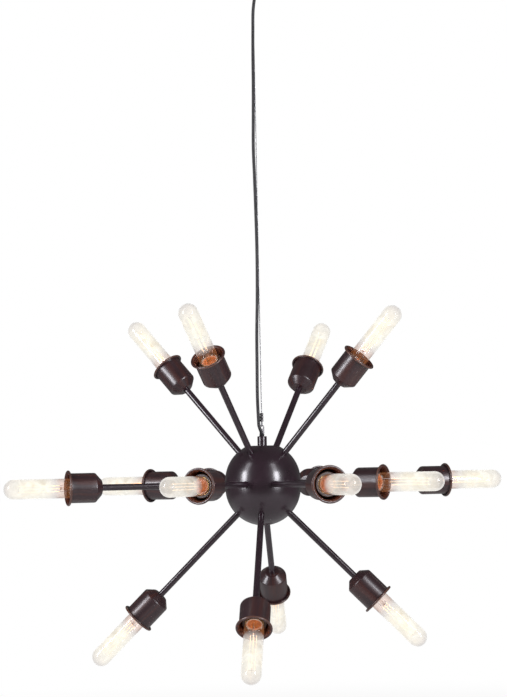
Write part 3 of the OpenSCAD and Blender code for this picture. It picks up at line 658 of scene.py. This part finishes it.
def stranded_rope():
    """Strands laid in a helix round a core strand, along the object's line."""
    tree, given, put = new_tree(
        "stranded_rope", "GeometryNodeTree",
        {"Geometry": ("Geometry",), "Strands": ("Int", 6), "Radius": ("Float", 0.00075),
         "Lay": ("Float", 0.009), "Step": ("Float", 0.001), "Sides": ("Int", 5), "Finish": ("Material",)},
        {"Geometry": ("Geometry",)},
    )
    strand = maths(tree, "DIVIDE", given["Radius"], 3.0)
    curve = add(tree, "GeometryNodeMeshToCurve", {0: given["Geometry"]}).outputs[0]
    steps = {"Curve": curve, "Length": given["Step"]}
    line = add(tree, "GeometryNodeResampleCurve", steps, mode="LENGTH").outputs[0]
    amount = {"Geometry": line, "Amount": given["Strands"]}
    copies = add(tree, "GeometryNodeDuplicateElements", amount, domain="SPLINE").outputs
    turns = maths(tree, "DIVIDE", add(tree, "GeometryNodeSplineParameter").outputs["Length"], given["Lay"])
    start = maths(tree, "DIVIDE", copies["Duplicate Index"], given["Strands"])
    angle = product(tree, maths(tree, "ADD", turns, start), FULL_TURN)
    along = add(tree, "GeometryNodeInputTangent").outputs[0]
    side = vectors(tree, "NORMALIZE", vectors(tree, "CROSS_PRODUCT", along, (1.0, 0.0, 0.0)))
    about = {"Vector": side, "Axis": along, "Angle": angle}
    turned = add(tree, "ShaderNodeVectorRotate", about, rotation_type="AXIS_ANGLE").outputs[0]
    out = stretched(tree, turned, product(tree, strand, 2.0))
    laid = add(tree, "GeometryNodeSetPosition", {"Geometry": copies[0], "Offset": out})
    whole = add(tree, "GeometryNodeJoinGeometry", {0: laid.outputs[0]})
    tree.links.new(line, whole.inputs[0])
    section = add(tree, "GeometryNodeCurvePrimitiveCircle", {"Resolution": given["Sides"], "Radius": strand})
    mesh = add(tree, "GeometryNodeCurveToMesh", {
        "Curve": whole.outputs[0], "Profile Curve": section.outputs[0], "Fill Caps": True})
    finished(tree, mesh.outputs[0], given["Finish"], put)
    return tree


def turned_copies():
    """Copies of the object's mesh, each turned and moved on from the last about Z."""
    tree, given, put = new_tree(
        "turned_copies", "GeometryNodeTree",
        {"Geometry": ("Geometry",), "Count": ("Int", 4), "Turn": ("Float", 1.0), "Shift": ("Vector",),
         "Finish": ("Material",)},
        {"Geometry": ("Geometry",)},
    )
    places = add(tree, "GeometryNodeMeshLine", {
        "Count": given["Count"], "Start Location": (0.0, 0.0, 0.0), "Offset": given["Shift"]})
    angle = product(tree, add(tree, "GeometryNodeInputIndex").outputs[0], given["Turn"])
    copies = add(tree, "GeometryNodeInstanceOnPoints", {
        "Points": places.outputs[0], "Instance": given["Geometry"],
        "Rotation": add(tree, "ShaderNodeCombineXYZ", {"Z": angle}).outputs[0]})
    finished(tree, copies.outputs[0], given["Finish"], put)
    return tree


def rolled_thread():
    """Presses a round thread into a turned sheet between two heights on Z, outside a least radius."""
    tree, given, put = new_tree(
        "rolled_thread", "GeometryNodeTree",
        {"Geometry": ("Geometry",), "Pitch": ("Float", 0.0036), "Depth": ("Float", 0.001),
         "From": ("Float", 0.0), "To": ("Float", 0.02), "Least Radius": ("Float", 0.01),
         "Finish": ("Material",)},
        {"Geometry": ("Geometry",)},
    )
    place = add(tree, "GeometryNodeInputPosition").outputs[0]
    xyz = add(tree, "ShaderNodeSeparateXYZ", {0: place}).outputs
    angle = maths(tree, "ARCTAN2", xyz["Y"], xyz["X"])
    turns = product(tree, maths(tree, "DIVIDE", xyz["Z"], given["Pitch"]), FULL_TURN)
    ridge = maths(tree, "COSINE", maths(tree, "SUBTRACT", turns, angle))
    wave = maths(tree, "MULTIPLY_ADD", ridge, 0.5, -0.5)
    run_out = product(tree, given["Pitch"], 0.6)
    rise = remap(tree, xyz["Z"], given["From"], maths(tree, "ADD", given["From"], run_out))
    fall = remap(tree, xyz["Z"], given["To"], maths(tree, "SUBTRACT", given["To"], run_out))
    flat = add(tree, "ShaderNodeCombineXYZ", {"X": xyz["X"], "Y": xyz["Y"]}).outputs[0]
    wall = maths(tree, "GREATER_THAN", vector_length(tree, flat), given["Least Radius"])
    depth = product(tree, wave, given["Depth"], rise, fall, wall)
    shift = stretched(tree, vectors(tree, "NORMALIZE", flat), depth)
    moved = add(tree, "GeometryNodeSetPosition", {"Geometry": given["Geometry"], "Offset": shift})
    finished(tree, moved.outputs[0], given["Finish"], put)
    return tree


def screw_ridge():
    """Ridge of a cut thread: a round profile along a helix about Z."""
    tree, given, put = new_tree(
        "screw_ridge", "GeometryNodeTree",
        {"Geometry": ("Geometry",), "Radius": ("Float", 0.005), "Pitch": ("Float", 0.001),
         "Length": ("Float", 0.02), "Ridge": ("Float", 0.0003), "Start": ("Vector",), "Finish": ("Material",)},
        {"Geometry": ("Geometry",)},
    )
    helix = add(tree, "GeometryNodeCurveSpiral", {
        "Resolution": 16, "Rotations": maths(tree, "DIVIDE", given["Length"], given["Pitch"]),
        "Start Radius": given["Radius"], "End Radius": given["Radius"], "Height": given["Length"],
    })
    section = add(tree, "GeometryNodeCurvePrimitiveCircle", {"Resolution": 4, "Radius": given["Ridge"]})
    mesh = add(tree, "GeometryNodeCurveToMesh", {
        "Curve": helix.outputs[0], "Profile Curve": section.outputs[0], "Fill Caps": True})
    moved = add(tree, "GeometryNodeTransform", {"Geometry": mesh.outputs[0], "Translation": given["Start"]})
    whole = add(tree, "GeometryNodeJoinGeometry", {0: moved.outputs[0]})
    tree.links.new(given["Geometry"], whole.inputs[0])
    finished(tree, whole.outputs[0], given["Finish"], put)
    return tree


# ---------------------------------------------------------------- lamps
# A lamp's sizes are in millimetres, from the middle of its cup's floor out along its arm, as in the CAD source.

CUP_RADIUS, CUP_WALL, CUP_HEIGHT = 23.0, 1.0, 54.0
CUP_FLOOR_RADIUS, CUP_SHOULDER, ARM_HOLE_RADIUS = 11.5, 10.5, 4.125
LIP_RADIUS, BEAD_RADIUS = 25.7, 1.8
GLASS_RADIUS, GLASS_NECK, GLASS_FOOT, GLASS_TIP = 15.0, 12.5, 39.0, 152.0
FLARE_TOP, CAGE_FOOT, CAGE_TOP, CAGE_RADIUS = 45.5, 65.4, 129.4, 4.5
CAP_RADIUS, CAP_FOOT, CAP_TOP = 13.0, 28.0, 45.0
THREAD_FROM, THREAD_TO = 28.0, 42.5
EMBER_HEIGHT = 74.0


def lamp_place(lamp):
    """Matrix of a lamp, in metres: its origin is on its cup's floor and +Z runs out along its arm."""
    joint = next(j for j in frame["joints"] if j["child"] == "bulb_" + lamp)
    z = np.array(joint["axis"], float)
    z /= np.linalg.norm(z)
    y = np.cross([0.0, 0.0, 1.0], z)
    y /= np.linalg.norm(y)
    axes = np.stack([np.cross(y, z), y, z])
    points = np.array([v.co for v in frame["nodes"]["bulb_" + lamp].data.vertices], float) @ axes.T
    low, high = points.min(0), points.max(0)
    origin = axes.T @ np.array([(low[0] + high[0]) / 2, (low[1] + high[1]) / 2, high[2] - GLASS_TIP * MM])
    place = Matrix(axes.T.tolist()).to_4x4()
    place.translation = Vector(origin)
    return place


def part_way(value, low, high):
    """How far a value is on the way from low to high, from 0 to 1."""
    return min(1.0, max(0.0, (value - low) / (high - low)))


def cup_form():
    """Spun cup with a sloping shoulder, a flare and a rolled rim, worn on the rim, where a painted sheen also lightens
    the lip.
    """
    r, wall, lip, bead = CUP_RADIUS, CUP_WALL, LIP_RADIUS, BEAD_RADIUS
    inner, flare = r - wall, 49
    slope = math.atan2(CUP_SHOULDER, r - CUP_FLOOR_RADIUS)
    floor_edge, shoulder, top = (CUP_FLOOR_RADIUS, 0), (r, CUP_SHOULDER), (r, CUP_HEIGHT)
    in_floor = (CUP_FLOOR_RADIUS - wall * math.tan(slope / 2), wall)
    in_shoulder = (inner, CUP_SHOULDER + wall * math.tan(math.pi / 4 - slope / 2))
    outer = [(ARM_HOLE_RADIUS, 0.0)]
    outer += rounded((0, 0), floor_edge, shoulder, 4, 6) + rounded(floor_edge, shoulder, top, 4, 6)
    outer += [(r, z) for z in (22.0, 31.0, 40.0)] + arc(lip, flare, lip - r, 4, 180, 131, 5)
    rim = arc(lip, CUP_HEIGHT - bead, bead, bead, 186, 450, 18)
    inside = arc(lip, flare, lip - inner, 5, 90, 180, 8)[1:] + [(inner, z) for z in (38.0, 26.0)]
    inside += rounded((inner, CUP_HEIGHT), in_shoulder, in_floor, 3, 5)
    inside += rounded(in_shoulder, in_floor, (0, wall), 3, 5)
    profile = outer + rim + inside + [(ARM_HOLE_RADIUS, wall), (ARM_HOLE_RADIUS, 0.0)]

    # The rim's outer bead carries wear with a painted sheen.
    def wear(radius, z):
        return part_way(radius, 26.2, 27.5) if z > 50 else 0.0

    return lathe(profile, 64, wear=wear, inside=len(outer) + len(rim))


def glass_form(sizes):
    """Glass envelope, with the stem and its flare on the inside."""
    wall = sizes.glass_wall / MM

    def side(thinned):
        """Side of the envelope from the neck to the tip, thinned by the wall for its inside."""
        r = GLASS_RADIUS - thinned
        bend = arc(11, 51, 4 - thinned, 5, -40, 0, 5)
        dome = arc(0, GLASS_TIP - GLASS_RADIUS, r, r, 0, 90, 16)[:-1] + [(0.0, GLASS_TIP - thinned)]
        return bend + [(r, z) for z in (66.0, 88.0, 112.0)] + dome

    neck = GLASS_NECK
    outer = [(0.0, GLASS_FOOT), (neck - 1, GLASS_FOOT), (neck, GLASS_FOOT + 0.8), (neck, FLARE_TOP)] + side(0)
    neck = GLASS_NECK - wall
    inner = [(neck, FLARE_TOP)] + side(wall)
    stem = [(0.0, 65.0), (1.6, 64.6), (2.5, 63.6), (2.5, 51.0), (3.0, 47.5), (4.2, 45.4)]
    flare = [(4.2, 45.4), (7.5, 44.6), (neck - 2.0, 44.4), (neck - 1.2, 44.5), (neck - 0.2, 44.9), (neck, FLARE_TOP)]

    def lit(radius, z):
        """From 0 in the neck to 1 along the strands and 0.4 at the tip. The stem stays clear."""
        if radius <= 5 and z <= 100:
            return 0.0
        return part_way(z, 66, 90) * (0.4 + 0.6 * part_way(z, 150, 126))

    def ring(radius, z):
        """Marks a painted highlight: the pale ring where the flare meets the wall."""
        return float(radius > neck - 1.5)

    whole = lathe(outer, lit=lit).join(lathe(inner[::-1], lit=lit))
    # The flare takes the foot's finish, and its mark lit places the painted highlight ring.
    return whole.join(lathe(flare[::-1], slot=1, lit=ring)).join(lathe(stem[::-1]))


def cap_form():
    """Screw cap: its shell, its end with the contact, and its lit foot with a painted glow. Slots: 0 metal, 1
    insulator, 2 foot with painted glow.
    """
    r, rim = CAP_RADIUS, CAP_RADIUS - 0.4
    shell = [(11.6, 26.2), (12.4, 27.0), (r, CAP_FOOT)] + [(r, CAP_FOOT + 0.45 * i) for i in range(1, 34)]
    shell += [(r, 43.4), (r, 44.6), (12.85, CAP_TOP), (rim, CAP_TOP), (rim, 38.9)]
    foot = lathe([(rim, 38.9), (9.0, 38.7), (5.0, 38.6), (2.0, 38.6), (0.0, 38.6)], slot=2)
    insulator = lathe([(4.6, 22.6), (5.4, 22.7), (8.0, 23.6), (10.6, 25.4), (11.6, 26.2)], slot=1)
    contact = lathe([(0.0, 21.8), (2.6, 21.85), (3.9, 22.1), (4.6, 22.6)], 32)
    return lathe(shell), insulator.join(contact, 0), foot


def filament_parts(sizes):
    """One strand, one spoke, and the middle and lead wires of the cage that the strands hang on."""
    heights = np.linspace(CAGE_FOOT, CAGE_TOP, 17)
    strand = tube([(CAGE_RADIUS, 0, z) for z in heights], sizes.filament_r / MM * 0.6, 8)
    spoke = tube([(0.4, 0, 0), (2.0, 0, 0), (4.0, 0, 0), (4.9, 0, 0)], [0.45, 0.4, 0.4, 0.3], 6)
    wires = tube([(0, 0, z) for z in (61.5, 80.0, 100.0, 120.0, 130.0)], 0.45, 6)
    for side in (1, -1):
        lead = [(side * 6.0, 0, 45.2), (side * 5.4, 0, 52), (side * 4.9, 0, 60), (side * CAGE_RADIUS, 0, CAGE_FOOT)]
        wires.join(tube(smooth_path(lead, 2.0), 0.35, 6))
    return strand, spoke, wires


# ---------------------------------------------------------------- operators

class PENDANT_OT_finishes(Operator):
    """Make every finish, and give the CAD parts theirs"""

    bl_idname = "pendant.finishes"
    bl_label = "Finishes"

    def execute(self, context):
        colours = context.scene.pendant_colours
        for make_group in (fine_grain, drawn_lines, settled_dust):
            make_group()
        for name, (tone, rough, values) in finish_table(colours).items():
            finish(name, tuple(tone), rough, **values)
        for make_lit in (glass_finish, filament_finish, foot_finish):
            make_lit(colours)
        for name, nodes in NODE_FINISHES.items():
            for node in nodes:
                materials = frame["nodes"][node].data.materials
                materials.clear()
                materials.append(bpy.data.materials[name])
        return {"FINISHED"}


class PENDANT_OT_cords(Operator):
    """Lay the power cord and the steel cable, with the cable's loop through the eye"""

    bl_idname = "pendant.cords"
    bl_label = "Cords"

    CANOPY = -28.0
    COLLAR = -764.309
    DROP = ((-3, -9, -75), (-3, -5, -110), (-3.5, -4, -150), (-4, -4, -200), (-5, -4, -250), (-6, -4, -300),
            (-5, -4, -350), (-4, -4, -410), (-3.5, -4, -470), (-4.5, -4, -540), (-6.5, -4, -600),
            (-7, -3.5, -650), (-7.5, -3.5, -700))
    OVER_COLLAR = ((-6.5, -3.5, 26), (-6, -4, 16), (-3.5, -4.2, 9), (-1.5, -3.7, 4), (0, -2.9, 0), (0, -2.9, -5))
    BALL_END = 3.05
    EYE_RISE, EYE_HALF, LOOP_RADIUS, LOOP_ANGLE = 14.4, 1.3, 2.4, math.radians(18)

    def execute(self, context):
        sizes = context.scene.pendant_sizes
        self.power_cord(sizes)
        self.steel_cable(sizes)
        return {"FINISHED"}

    def power_cord(self, sizes):
        """Cord from the gland in the canopy, beside the cable, into the collar on the ball."""
        top, collar = self.CANOPY, self.COLLAR
        route = [(0, -16, top + 10), (0, -16, top), (0, -16, top - 14), *self.DROP]
        route += [(x, y, collar + z) for x, y, z in self.OVER_COLLAR]
        line = smooth_path(route, 4.0)
        sleeve = tube(line, sizes.cord_r / MM, 20).mesh("power_cord_sleeve")
        cord = shown("power_cord_sleeve", sleeve, ["cord_black"])
        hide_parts("power_cord")
        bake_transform(cord)

    def steel_cable(self, sizes):
        """Cable from its ball end to the eye, round the eye in a loop and back beside itself."""
        top, r, angle = self.CANOPY - self.BALL_END, self.LOOP_RADIUS, self.LOOP_ANGLE
        centre = self.COLLAR + self.EYE_RISE + self.EYE_HALF + r
        leg_z, leg_y = centre + r * math.sin(angle), r * math.cos(angle)
        split = leg_z + leg_y / math.tan(angle)
        straight = [(0, 0, z) for z in np.linspace(top, split, 60)]
        round_eye = np.linspace(angle, -math.pi - angle, 25)
        bend = [(0, r * math.cos(a), centre + r * math.sin(a)) for a in round_eye]
        legs = [(0, leg_y * t, split + (leg_z - split) * t) for t in (0.25, 0.5, 0.75)]
        back = [(0, -y, z) for _, y, z in legs[::-1]]
        path = in_metres(straight + legs + bend + back)
        guide = bpy.data.meshes.new("cable_line")
        guide.from_pydata(path, [(i, i + 1) for i in range(len(path) - 1)], [])
        cable = shown("steel_cable_strands", guide, [])
        grow(cable, stranded_rope(), Radius=sizes.cable_r, Lay=sizes.cable_lay,
             Finish=bpy.data.materials["cable_steel"])
        smooth_all(cable)
        carried(cable, "cable", "cable_steel", "steel_cable")


class PENDANT_OT_cups(Operator):
    """Spin the cups of the sixteen lamps"""

    bl_idname = "pendant.cups"
    bl_label = "Cups"

    def execute(self, context):
        form = cup_form()
        for lamp in LAMPS:
            name = "spun_cup_" + lamp
            cup = shown(name, form.mesh(name, lamp_place(lamp)), ["spun_bronze", "cup_inside"])
            carried(cup, "fixture", "bronze_paint", "cup_" + lamp)
        return {"FINISHED"}


class PENDANT_OT_bulbs(Operator):
    """Make the sixteen bulbs: glass, screw cap and filament cage"""

    bl_idname = "pendant.bulbs"
    bl_label = "Bulbs"

    def execute(self, context):
        sizes = context.scene.pendant_sizes
        glass = glass_form(sizes)
        shell, end, foot = cap_form()
        strand, spoke, wires = filament_parts(sizes)
        steel, glow = bpy.data.materials["cable_steel"], bpy.data.materials["filament_glow"]
        cap = shown("cap_pattern", shell.mesh("cap_pattern"), ["brass", "cap_insulator", "bulb_foot"])
        grow(cap, rolled_thread(), Pitch=sizes.thread_pitch, Depth=0.0009, From=THREAD_FROM * MM,
             To=THREAD_TO * MM, Least_Radius=0.0127, Finish=bpy.data.materials["brass"])
        ends = end.join(foot).mesh("cap_ends")
        copies, turn = turned_copies(), FULL_TURN / sizes.filaments
        strands = shown("strand_pattern", strand.mesh("strand_pattern"), ["filament_glow"])
        grow(strands, copies, Count=sizes.filaments, Turn=turn, Finish=glow)
        spokes = shown("spoke_pattern", spoke.mesh("spoke_pattern"), ["cable_steel"])
        grow(spokes, copies, Count=sizes.filaments, Turn=turn, Finish=steel)
        for lamp in LAMPS:
            place, body = lamp_place(lamp), "bulb_" + lamp
            shade = shown("glass_" + lamp, glass.mesh("glass_" + lamp, place), ["bulb_glass", "bulb_foot"])
            carried(shade, body, "bulb_glass", body)
            shade.visible_shadow = False
            self.ember(context, lamp, place, shade)
            screw = shown("cap_" + lamp, cap.data.copy(), [])
            merged(screw, [ends], place)
            carried(screw, body, "brass")
            cage = shown("filament_" + lamp, strands.data.copy(), [])
            cage.data.materials.append(steel)
            stars = [raised(spokes.data, z * MM, 1) for z in (CAGE_FOOT, CAGE_TOP)]
            merged(cage, stars + [slotted(wires.mesh("wires"), 1)], place)
            carried(cage, body, "bulb_glass")
        for pattern in (cap, strands, spokes):
            bpy.data.objects.remove(pattern)
        return {"FINISHED"}

    def ember(self, context, lamp, place, shade):
        """Small warm light in a bulb, which moves with its glass and isn't seen itself."""
        data = bpy.data.lights.new("glow_" + lamp, "POINT")
        data.energy = context.scene.pendant_lights.ember_power
        data.color = context.scene.pendant_colours.ember
        data.shadow_soft_size = 0.006
        light = bpy.data.objects.new("glow_" + lamp, data)
        light.location = place @ Vector((0, 0, EMBER_HEIGHT * MM))
        light.visible_transmission = light.visible_glossy = False
        light.parent = shade
        context.scene.collection.objects.link(light)


class PENDANT_OT_hardware(Operator):
    """Press the threads of the lampholders, cut the thread of the stem and wire the terminal block"""

    bl_idname = "pendant.hardware"
    bl_label = "Hardware"

    def execute(self, context):
        self.holder_shells(context.scene.pendant_sizes)
        self.stem_thread()
        self.cores()
        return {"FINISHED"}

    def holder_shells(self, sizes):
        """Thread shells of the sixteen lampholders, which the bulbs' caps screw into."""
        hole, outer, inner, low, high, wall = 9.0, 13.8, 13.3, 19.05, 43.0, 0.5
        steps = [low + 0.6 * i for i in range(1, 40)]
        profile = [(hole, low), (outer, low)] + [(outer, z) for z in steps] + [(outer, high), (inner, high)]
        profile += [(inner, z) for z in steps[:0:-1]] + [(inner, low + wall), (hole, low + wall), (hole, low)]
        pattern = shown("shell_pattern", lathe(profile, 40).mesh("shell_pattern"), ["brass"])
        grow(pattern, bpy.data.node_groups["rolled_thread"], Pitch=sizes.thread_pitch, Depth=0.00045,
             From=THREAD_FROM * MM, To=THREAD_TO * MM, Least_Radius=0.0128, Finish=bpy.data.materials["brass"])
        whole = bmesh.new()
        for lamp in LAMPS:
            shell = pattern.data.copy()
            shell.transform(lamp_place(lamp))
            whole.from_mesh(shell)
        shells = shown("threaded_shells", pattern.data.copy(), [])
        whole.to_mesh(shells.data)
        whole.free()
        smooth_all(shells)
        shells.data.set_sharp_from_angle(angle=math.radians(50))
        bpy.data.objects.remove(pattern)
        carried(shells, "fixture", "brass", "lampholder_shells")

    def stem_thread(self):
        """Thread on the stem between its two nuts, in the space that the canopy covers."""
        low, root = -27.4, 4.6
        ridge = tube([(root, 0, low), (root, 0, low + 0.4)], 0.1, 4)
        thread = shown("stem_thread", ridge.mesh("stem_thread"), ["zinc_steel"])
        grow(thread, screw_ridge(), Radius=0.0048, Pitch=0.001, Length=0.020, Ridge=0.00028,
             Start=(0.0, 0.0, low * MM), Finish=bpy.data.materials["zinc_steel"])
        carried(thread, "ceiling", "zinc_steel")

    def cores(self):
        """Cores that run from the end of the cord to the poles of the terminal block."""
        for label, x, pole in (("core_live", -1.6, -7.0), ("core_neutral", 0.0, 0.0), ("core_earth", 1.6, 7.0)):
            route = [(x, -16, -18.4), (x, -15.4, -13), (x + 2, -13, -9.5), (6, pole - 2, -8.6), (9, pole, -9.0),
                     (11.6, pole, -9.0)]
            core = shown(label, tube(smooth_path(route, 1.2), 0.9, 10).mesh(label), [label])
            carried(core, "ceiling", "lead_sleeve")
            smooth_all(core)


def seen_white(tree, path, plain, glossy):
    """Strength of white for rays from the camera and through glass, with others for plain and reflected light."""
    seen = maths(tree, "MINIMUM", maths(tree, "ADD", path["Is Camera Ray"], path["Is Transmission Ray"]), 1.0)
    other = maths(tree, "MULTIPLY_ADD", path["Is Glossy Ray"], glossy - plain, plain)
    return maths(tree, "MAXIMUM", seen, other)


def direction(azimuth, rise):
    """Direction from the ball by an azimuth from -Y and a rise, both in radians."""
    return Vector((math.sin(azimuth) * math.cos(rise), -math.cos(azimuth) * math.cos(rise), math.sin(rise)))


class PENDANT_OT_stage(Operator):
    """Set up the camera, the lamps, the white surroundings and the floor"""

    bl_idname = "pendant.stage"
    bl_label = "Stage"

    AIM = Vector((0, 0, -0.84))
    TURN = math.radians(-17.6)
    PICTURE = (507, 697)
    BALL_PIXEL = (263.0, 483.9)
    FOCAL_PIXELS = 1752.0
    CAMERA_DISTANCE, CAMERA_RISE, CAMERA_ROLL = 2.796, math.radians(0.48), math.radians(-1.16)
    BOX_DISTANCE, BOX_COLOUR = 2.6, (0.95, 0.94, 1.0)
    # name, azimuth from the camera and rise in degrees, width and height in metres, watts
    SOFT_BOXES = (
        ("soft_box_left", -59.0, 12.0, 0.62, 1.15, 36.0),
        ("soft_box_left_top", -57.0, 37.0, 0.55, 1.1, 7.0),
        ("soft_box_left_base", -59.0, -26.0, 0.8, 1.9, 3.0),
        ("soft_box_right", 43.0, 12.0, 0.62, 1.15, 38.0),
        ("soft_box_right_top", 41.0, 37.0, 0.55, 1.1, 7.0),
        ("soft_box_right_base", 43.0, -26.0, 0.8, 1.9, 3.0),
    )
    PLAIN_LIGHT, WORLD_IN_GLOSS, FLOOR_IN_GLOSS = 0.45, 0.09, 0.13

    def execute(self, context):
        self.camera(context)
        self.surroundings(context)
        self.floor(context)
        for box in self.SOFT_BOXES:
            self.soft_box(context, *box)
        return {"FINISHED"}

    def camera(self, context):
        """Camera that sees the ball's middle at its place in the picture."""
        (wide, tall), (x, y), roll = self.PICTURE, self.BALL_PIXEL, self.CAMERA_ROLL
        back = direction(self.TURN, self.CAMERA_RISE)
        data = bpy.data.cameras.new("camera")
        data.sensor_width = 36.0
        data.lens = self.FOCAL_PIXELS * data.sensor_width / tall
        data.clip_end = 100
        seen = Vector((x - wide / 2, tall / 2 - y, -self.FOCAL_PIXELS)).normalized()
        seen.rotate(Matrix.Rotation(roll, 3, "Z"))
        to = -back
        pitch = math.asin(to.z / math.hypot(seen.y, seen.z)) - math.atan2(seen.y, -seen.z)
        ahead = -seen.y * math.sin(pitch) - seen.z * math.cos(pitch)
        yaw = math.atan2(to.y, to.x) - math.atan2(ahead, seen.x)
        upright = Matrix.Rotation(yaw, 4, "Z") @ Matrix.Rotation(math.pi / 2 + pitch, 4, "X")
        camera = bpy.data.objects.new("camera", data)
        place = Matrix.Translation(self.AIM + back * self.CAMERA_DISTANCE)
        camera.matrix_world = place @ upright @ Matrix.Rotation(roll, 4, "Z")
        context.scene.collection.objects.link(camera)
        context.scene.camera = camera
        context.scene.view_settings.view_transform = "Standard"

    def surroundings(self, context):
        """World that the camera sees white, and that lights the object at a plain level."""
        world = bpy.data.worlds.new("white_studio")
        context.scene.world = world
        world.use_nodes = True
        tree = world.node_tree
        path = add(tree, "ShaderNodeLightPath").outputs
        back = tree.nodes["Background"]
        strength = seen_white(tree, path, self.PLAIN_LIGHT, self.WORLD_IN_GLOSS)
        tree.links.new(strength, back.inputs["Strength"])
        back.inputs["Color"].default_value = WHITE

    def floor(self, context):
        """Pale floor that shows white where it is lit and keeps the pendant's shadow."""
        height = context.scene.pendant_sizes.floor_height
        material = finish("pale_floor", (0.8, 0.8, 0.8), 0.8, grain=60.0, patches=1.5, vary=0.02, peel=0.0002)
        tree = material.node_tree
        place = add(tree, "ShaderNodeTexCoord").outputs["Object"]
        away = vector_length(tree, vectors(tree, "MULTIPLY", place, (1.0, 1.0, 0.0)))
        share = remap(tree, away, 1.2, 3.0, 0.55, 1.0, interpolation_type="SMOOTHSTEP")
        white = seen_white(tree, add(tree, "ShaderNodeLightPath").outputs, 0.0, self.FLOOR_IN_GLOSS)
        light = add(tree, "ShaderNodeEmission", {"Color": WHITE, "Strength": white})
        seen = maths(tree, "GREATER_THAN", white, 0.1)
        mix = add(tree, "ShaderNodeMixShader", {
            0: product(tree, seen, share), 1: tree.nodes["Principled BSDF"].outputs[0], 2: light.outputs[0]})
        tree.links.new(mix.outputs[0], tree.nodes["Material Output"].inputs["Surface"])
        radii = (14.0, 8.0, 5.0, 3.5, 2.5, 2.0, 1.5, 1.0, 0.5, 0.0)
        form = lathe([(r / MM, height / MM) for r in radii], 64)
        shown("floor", form.mesh("floor"), ["pale_floor"])

    def soft_box(self, context, name, azimuth, rise, wide, tall, power):
        """Soft box that looks at the ball, placed by its angles from the camera's direction."""
        back = direction(self.TURN + math.radians(azimuth), math.radians(rise))
        data = bpy.data.lights.new(name, "AREA")
        data.shape, data.size, data.size_y = "RECTANGLE", wide, tall
        data.energy = power * context.scene.pendant_lights.studio_share
        data.color = self.BOX_COLOUR
        lamp = bpy.data.objects.new(name, data)
        lamp.location = self.AIM + back * self.BOX_DISTANCE
        lamp.rotation_euler = (-back).to_track_quat("-Z", "Y").to_euler()
        context.scene.collection.objects.link(lamp)


class PENDANT_PT_panel(Panel):
    """Sizes, colours, lights and pieces of the pendant"""

    bl_idname = "PENDANT_PT_panel"
    bl_label = "Pendant"
    bl_space_type = "VIEW_3D"
    bl_region_type = "UI"
    bl_category = "Pendant"

    def draw(self, context):
        scene = context.scene
        for group in (scene.pendant_sizes, scene.pendant_colours, scene.pendant_lights):
            for name in group.__annotations__:
                self.layout.prop(group, name)
        for operator in STEPS:
            self.layout.operator(operator.bl_idname)


STEPS = (PENDANT_OT_finishes, PENDANT_OT_cords, PENDANT_OT_cups, PENDANT_OT_bulbs, PENDANT_OT_hardware,
         PENDANT_OT_stage)
CLASSES = (PendantSizes, PendantColours, PendantLights) + STEPS + (PENDANT_PT_panel,)


def register():
    for cls in CLASSES:
        bpy.utils.register_class(cls)
    bpy.types.Scene.pendant_sizes = PointerProperty(type=PendantSizes)
    bpy.types.Scene.pendant_colours = PointerProperty(type=PendantColours)
    bpy.types.Scene.pendant_lights = PointerProperty(type=PendantLights)


def unregister():
    del bpy.types.Scene.pendant_lights
    del bpy.types.Scene.pendant_colours
    del bpy.types.Scene.pendant_sizes
    for cls in reversed(CLASSES):
        bpy.utils.unregister_class(cls)


def main():
    register()
    bpy.ops.pendant.finishes()
    bpy.ops.pendant.cords()
    bpy.ops.pendant.cups()
    bpy.ops.pendant.bulbs()
    bpy.ops.pendant.hardware()
    bpy.ops.pendant.stage()


if __name__ == "__main__":
    main()
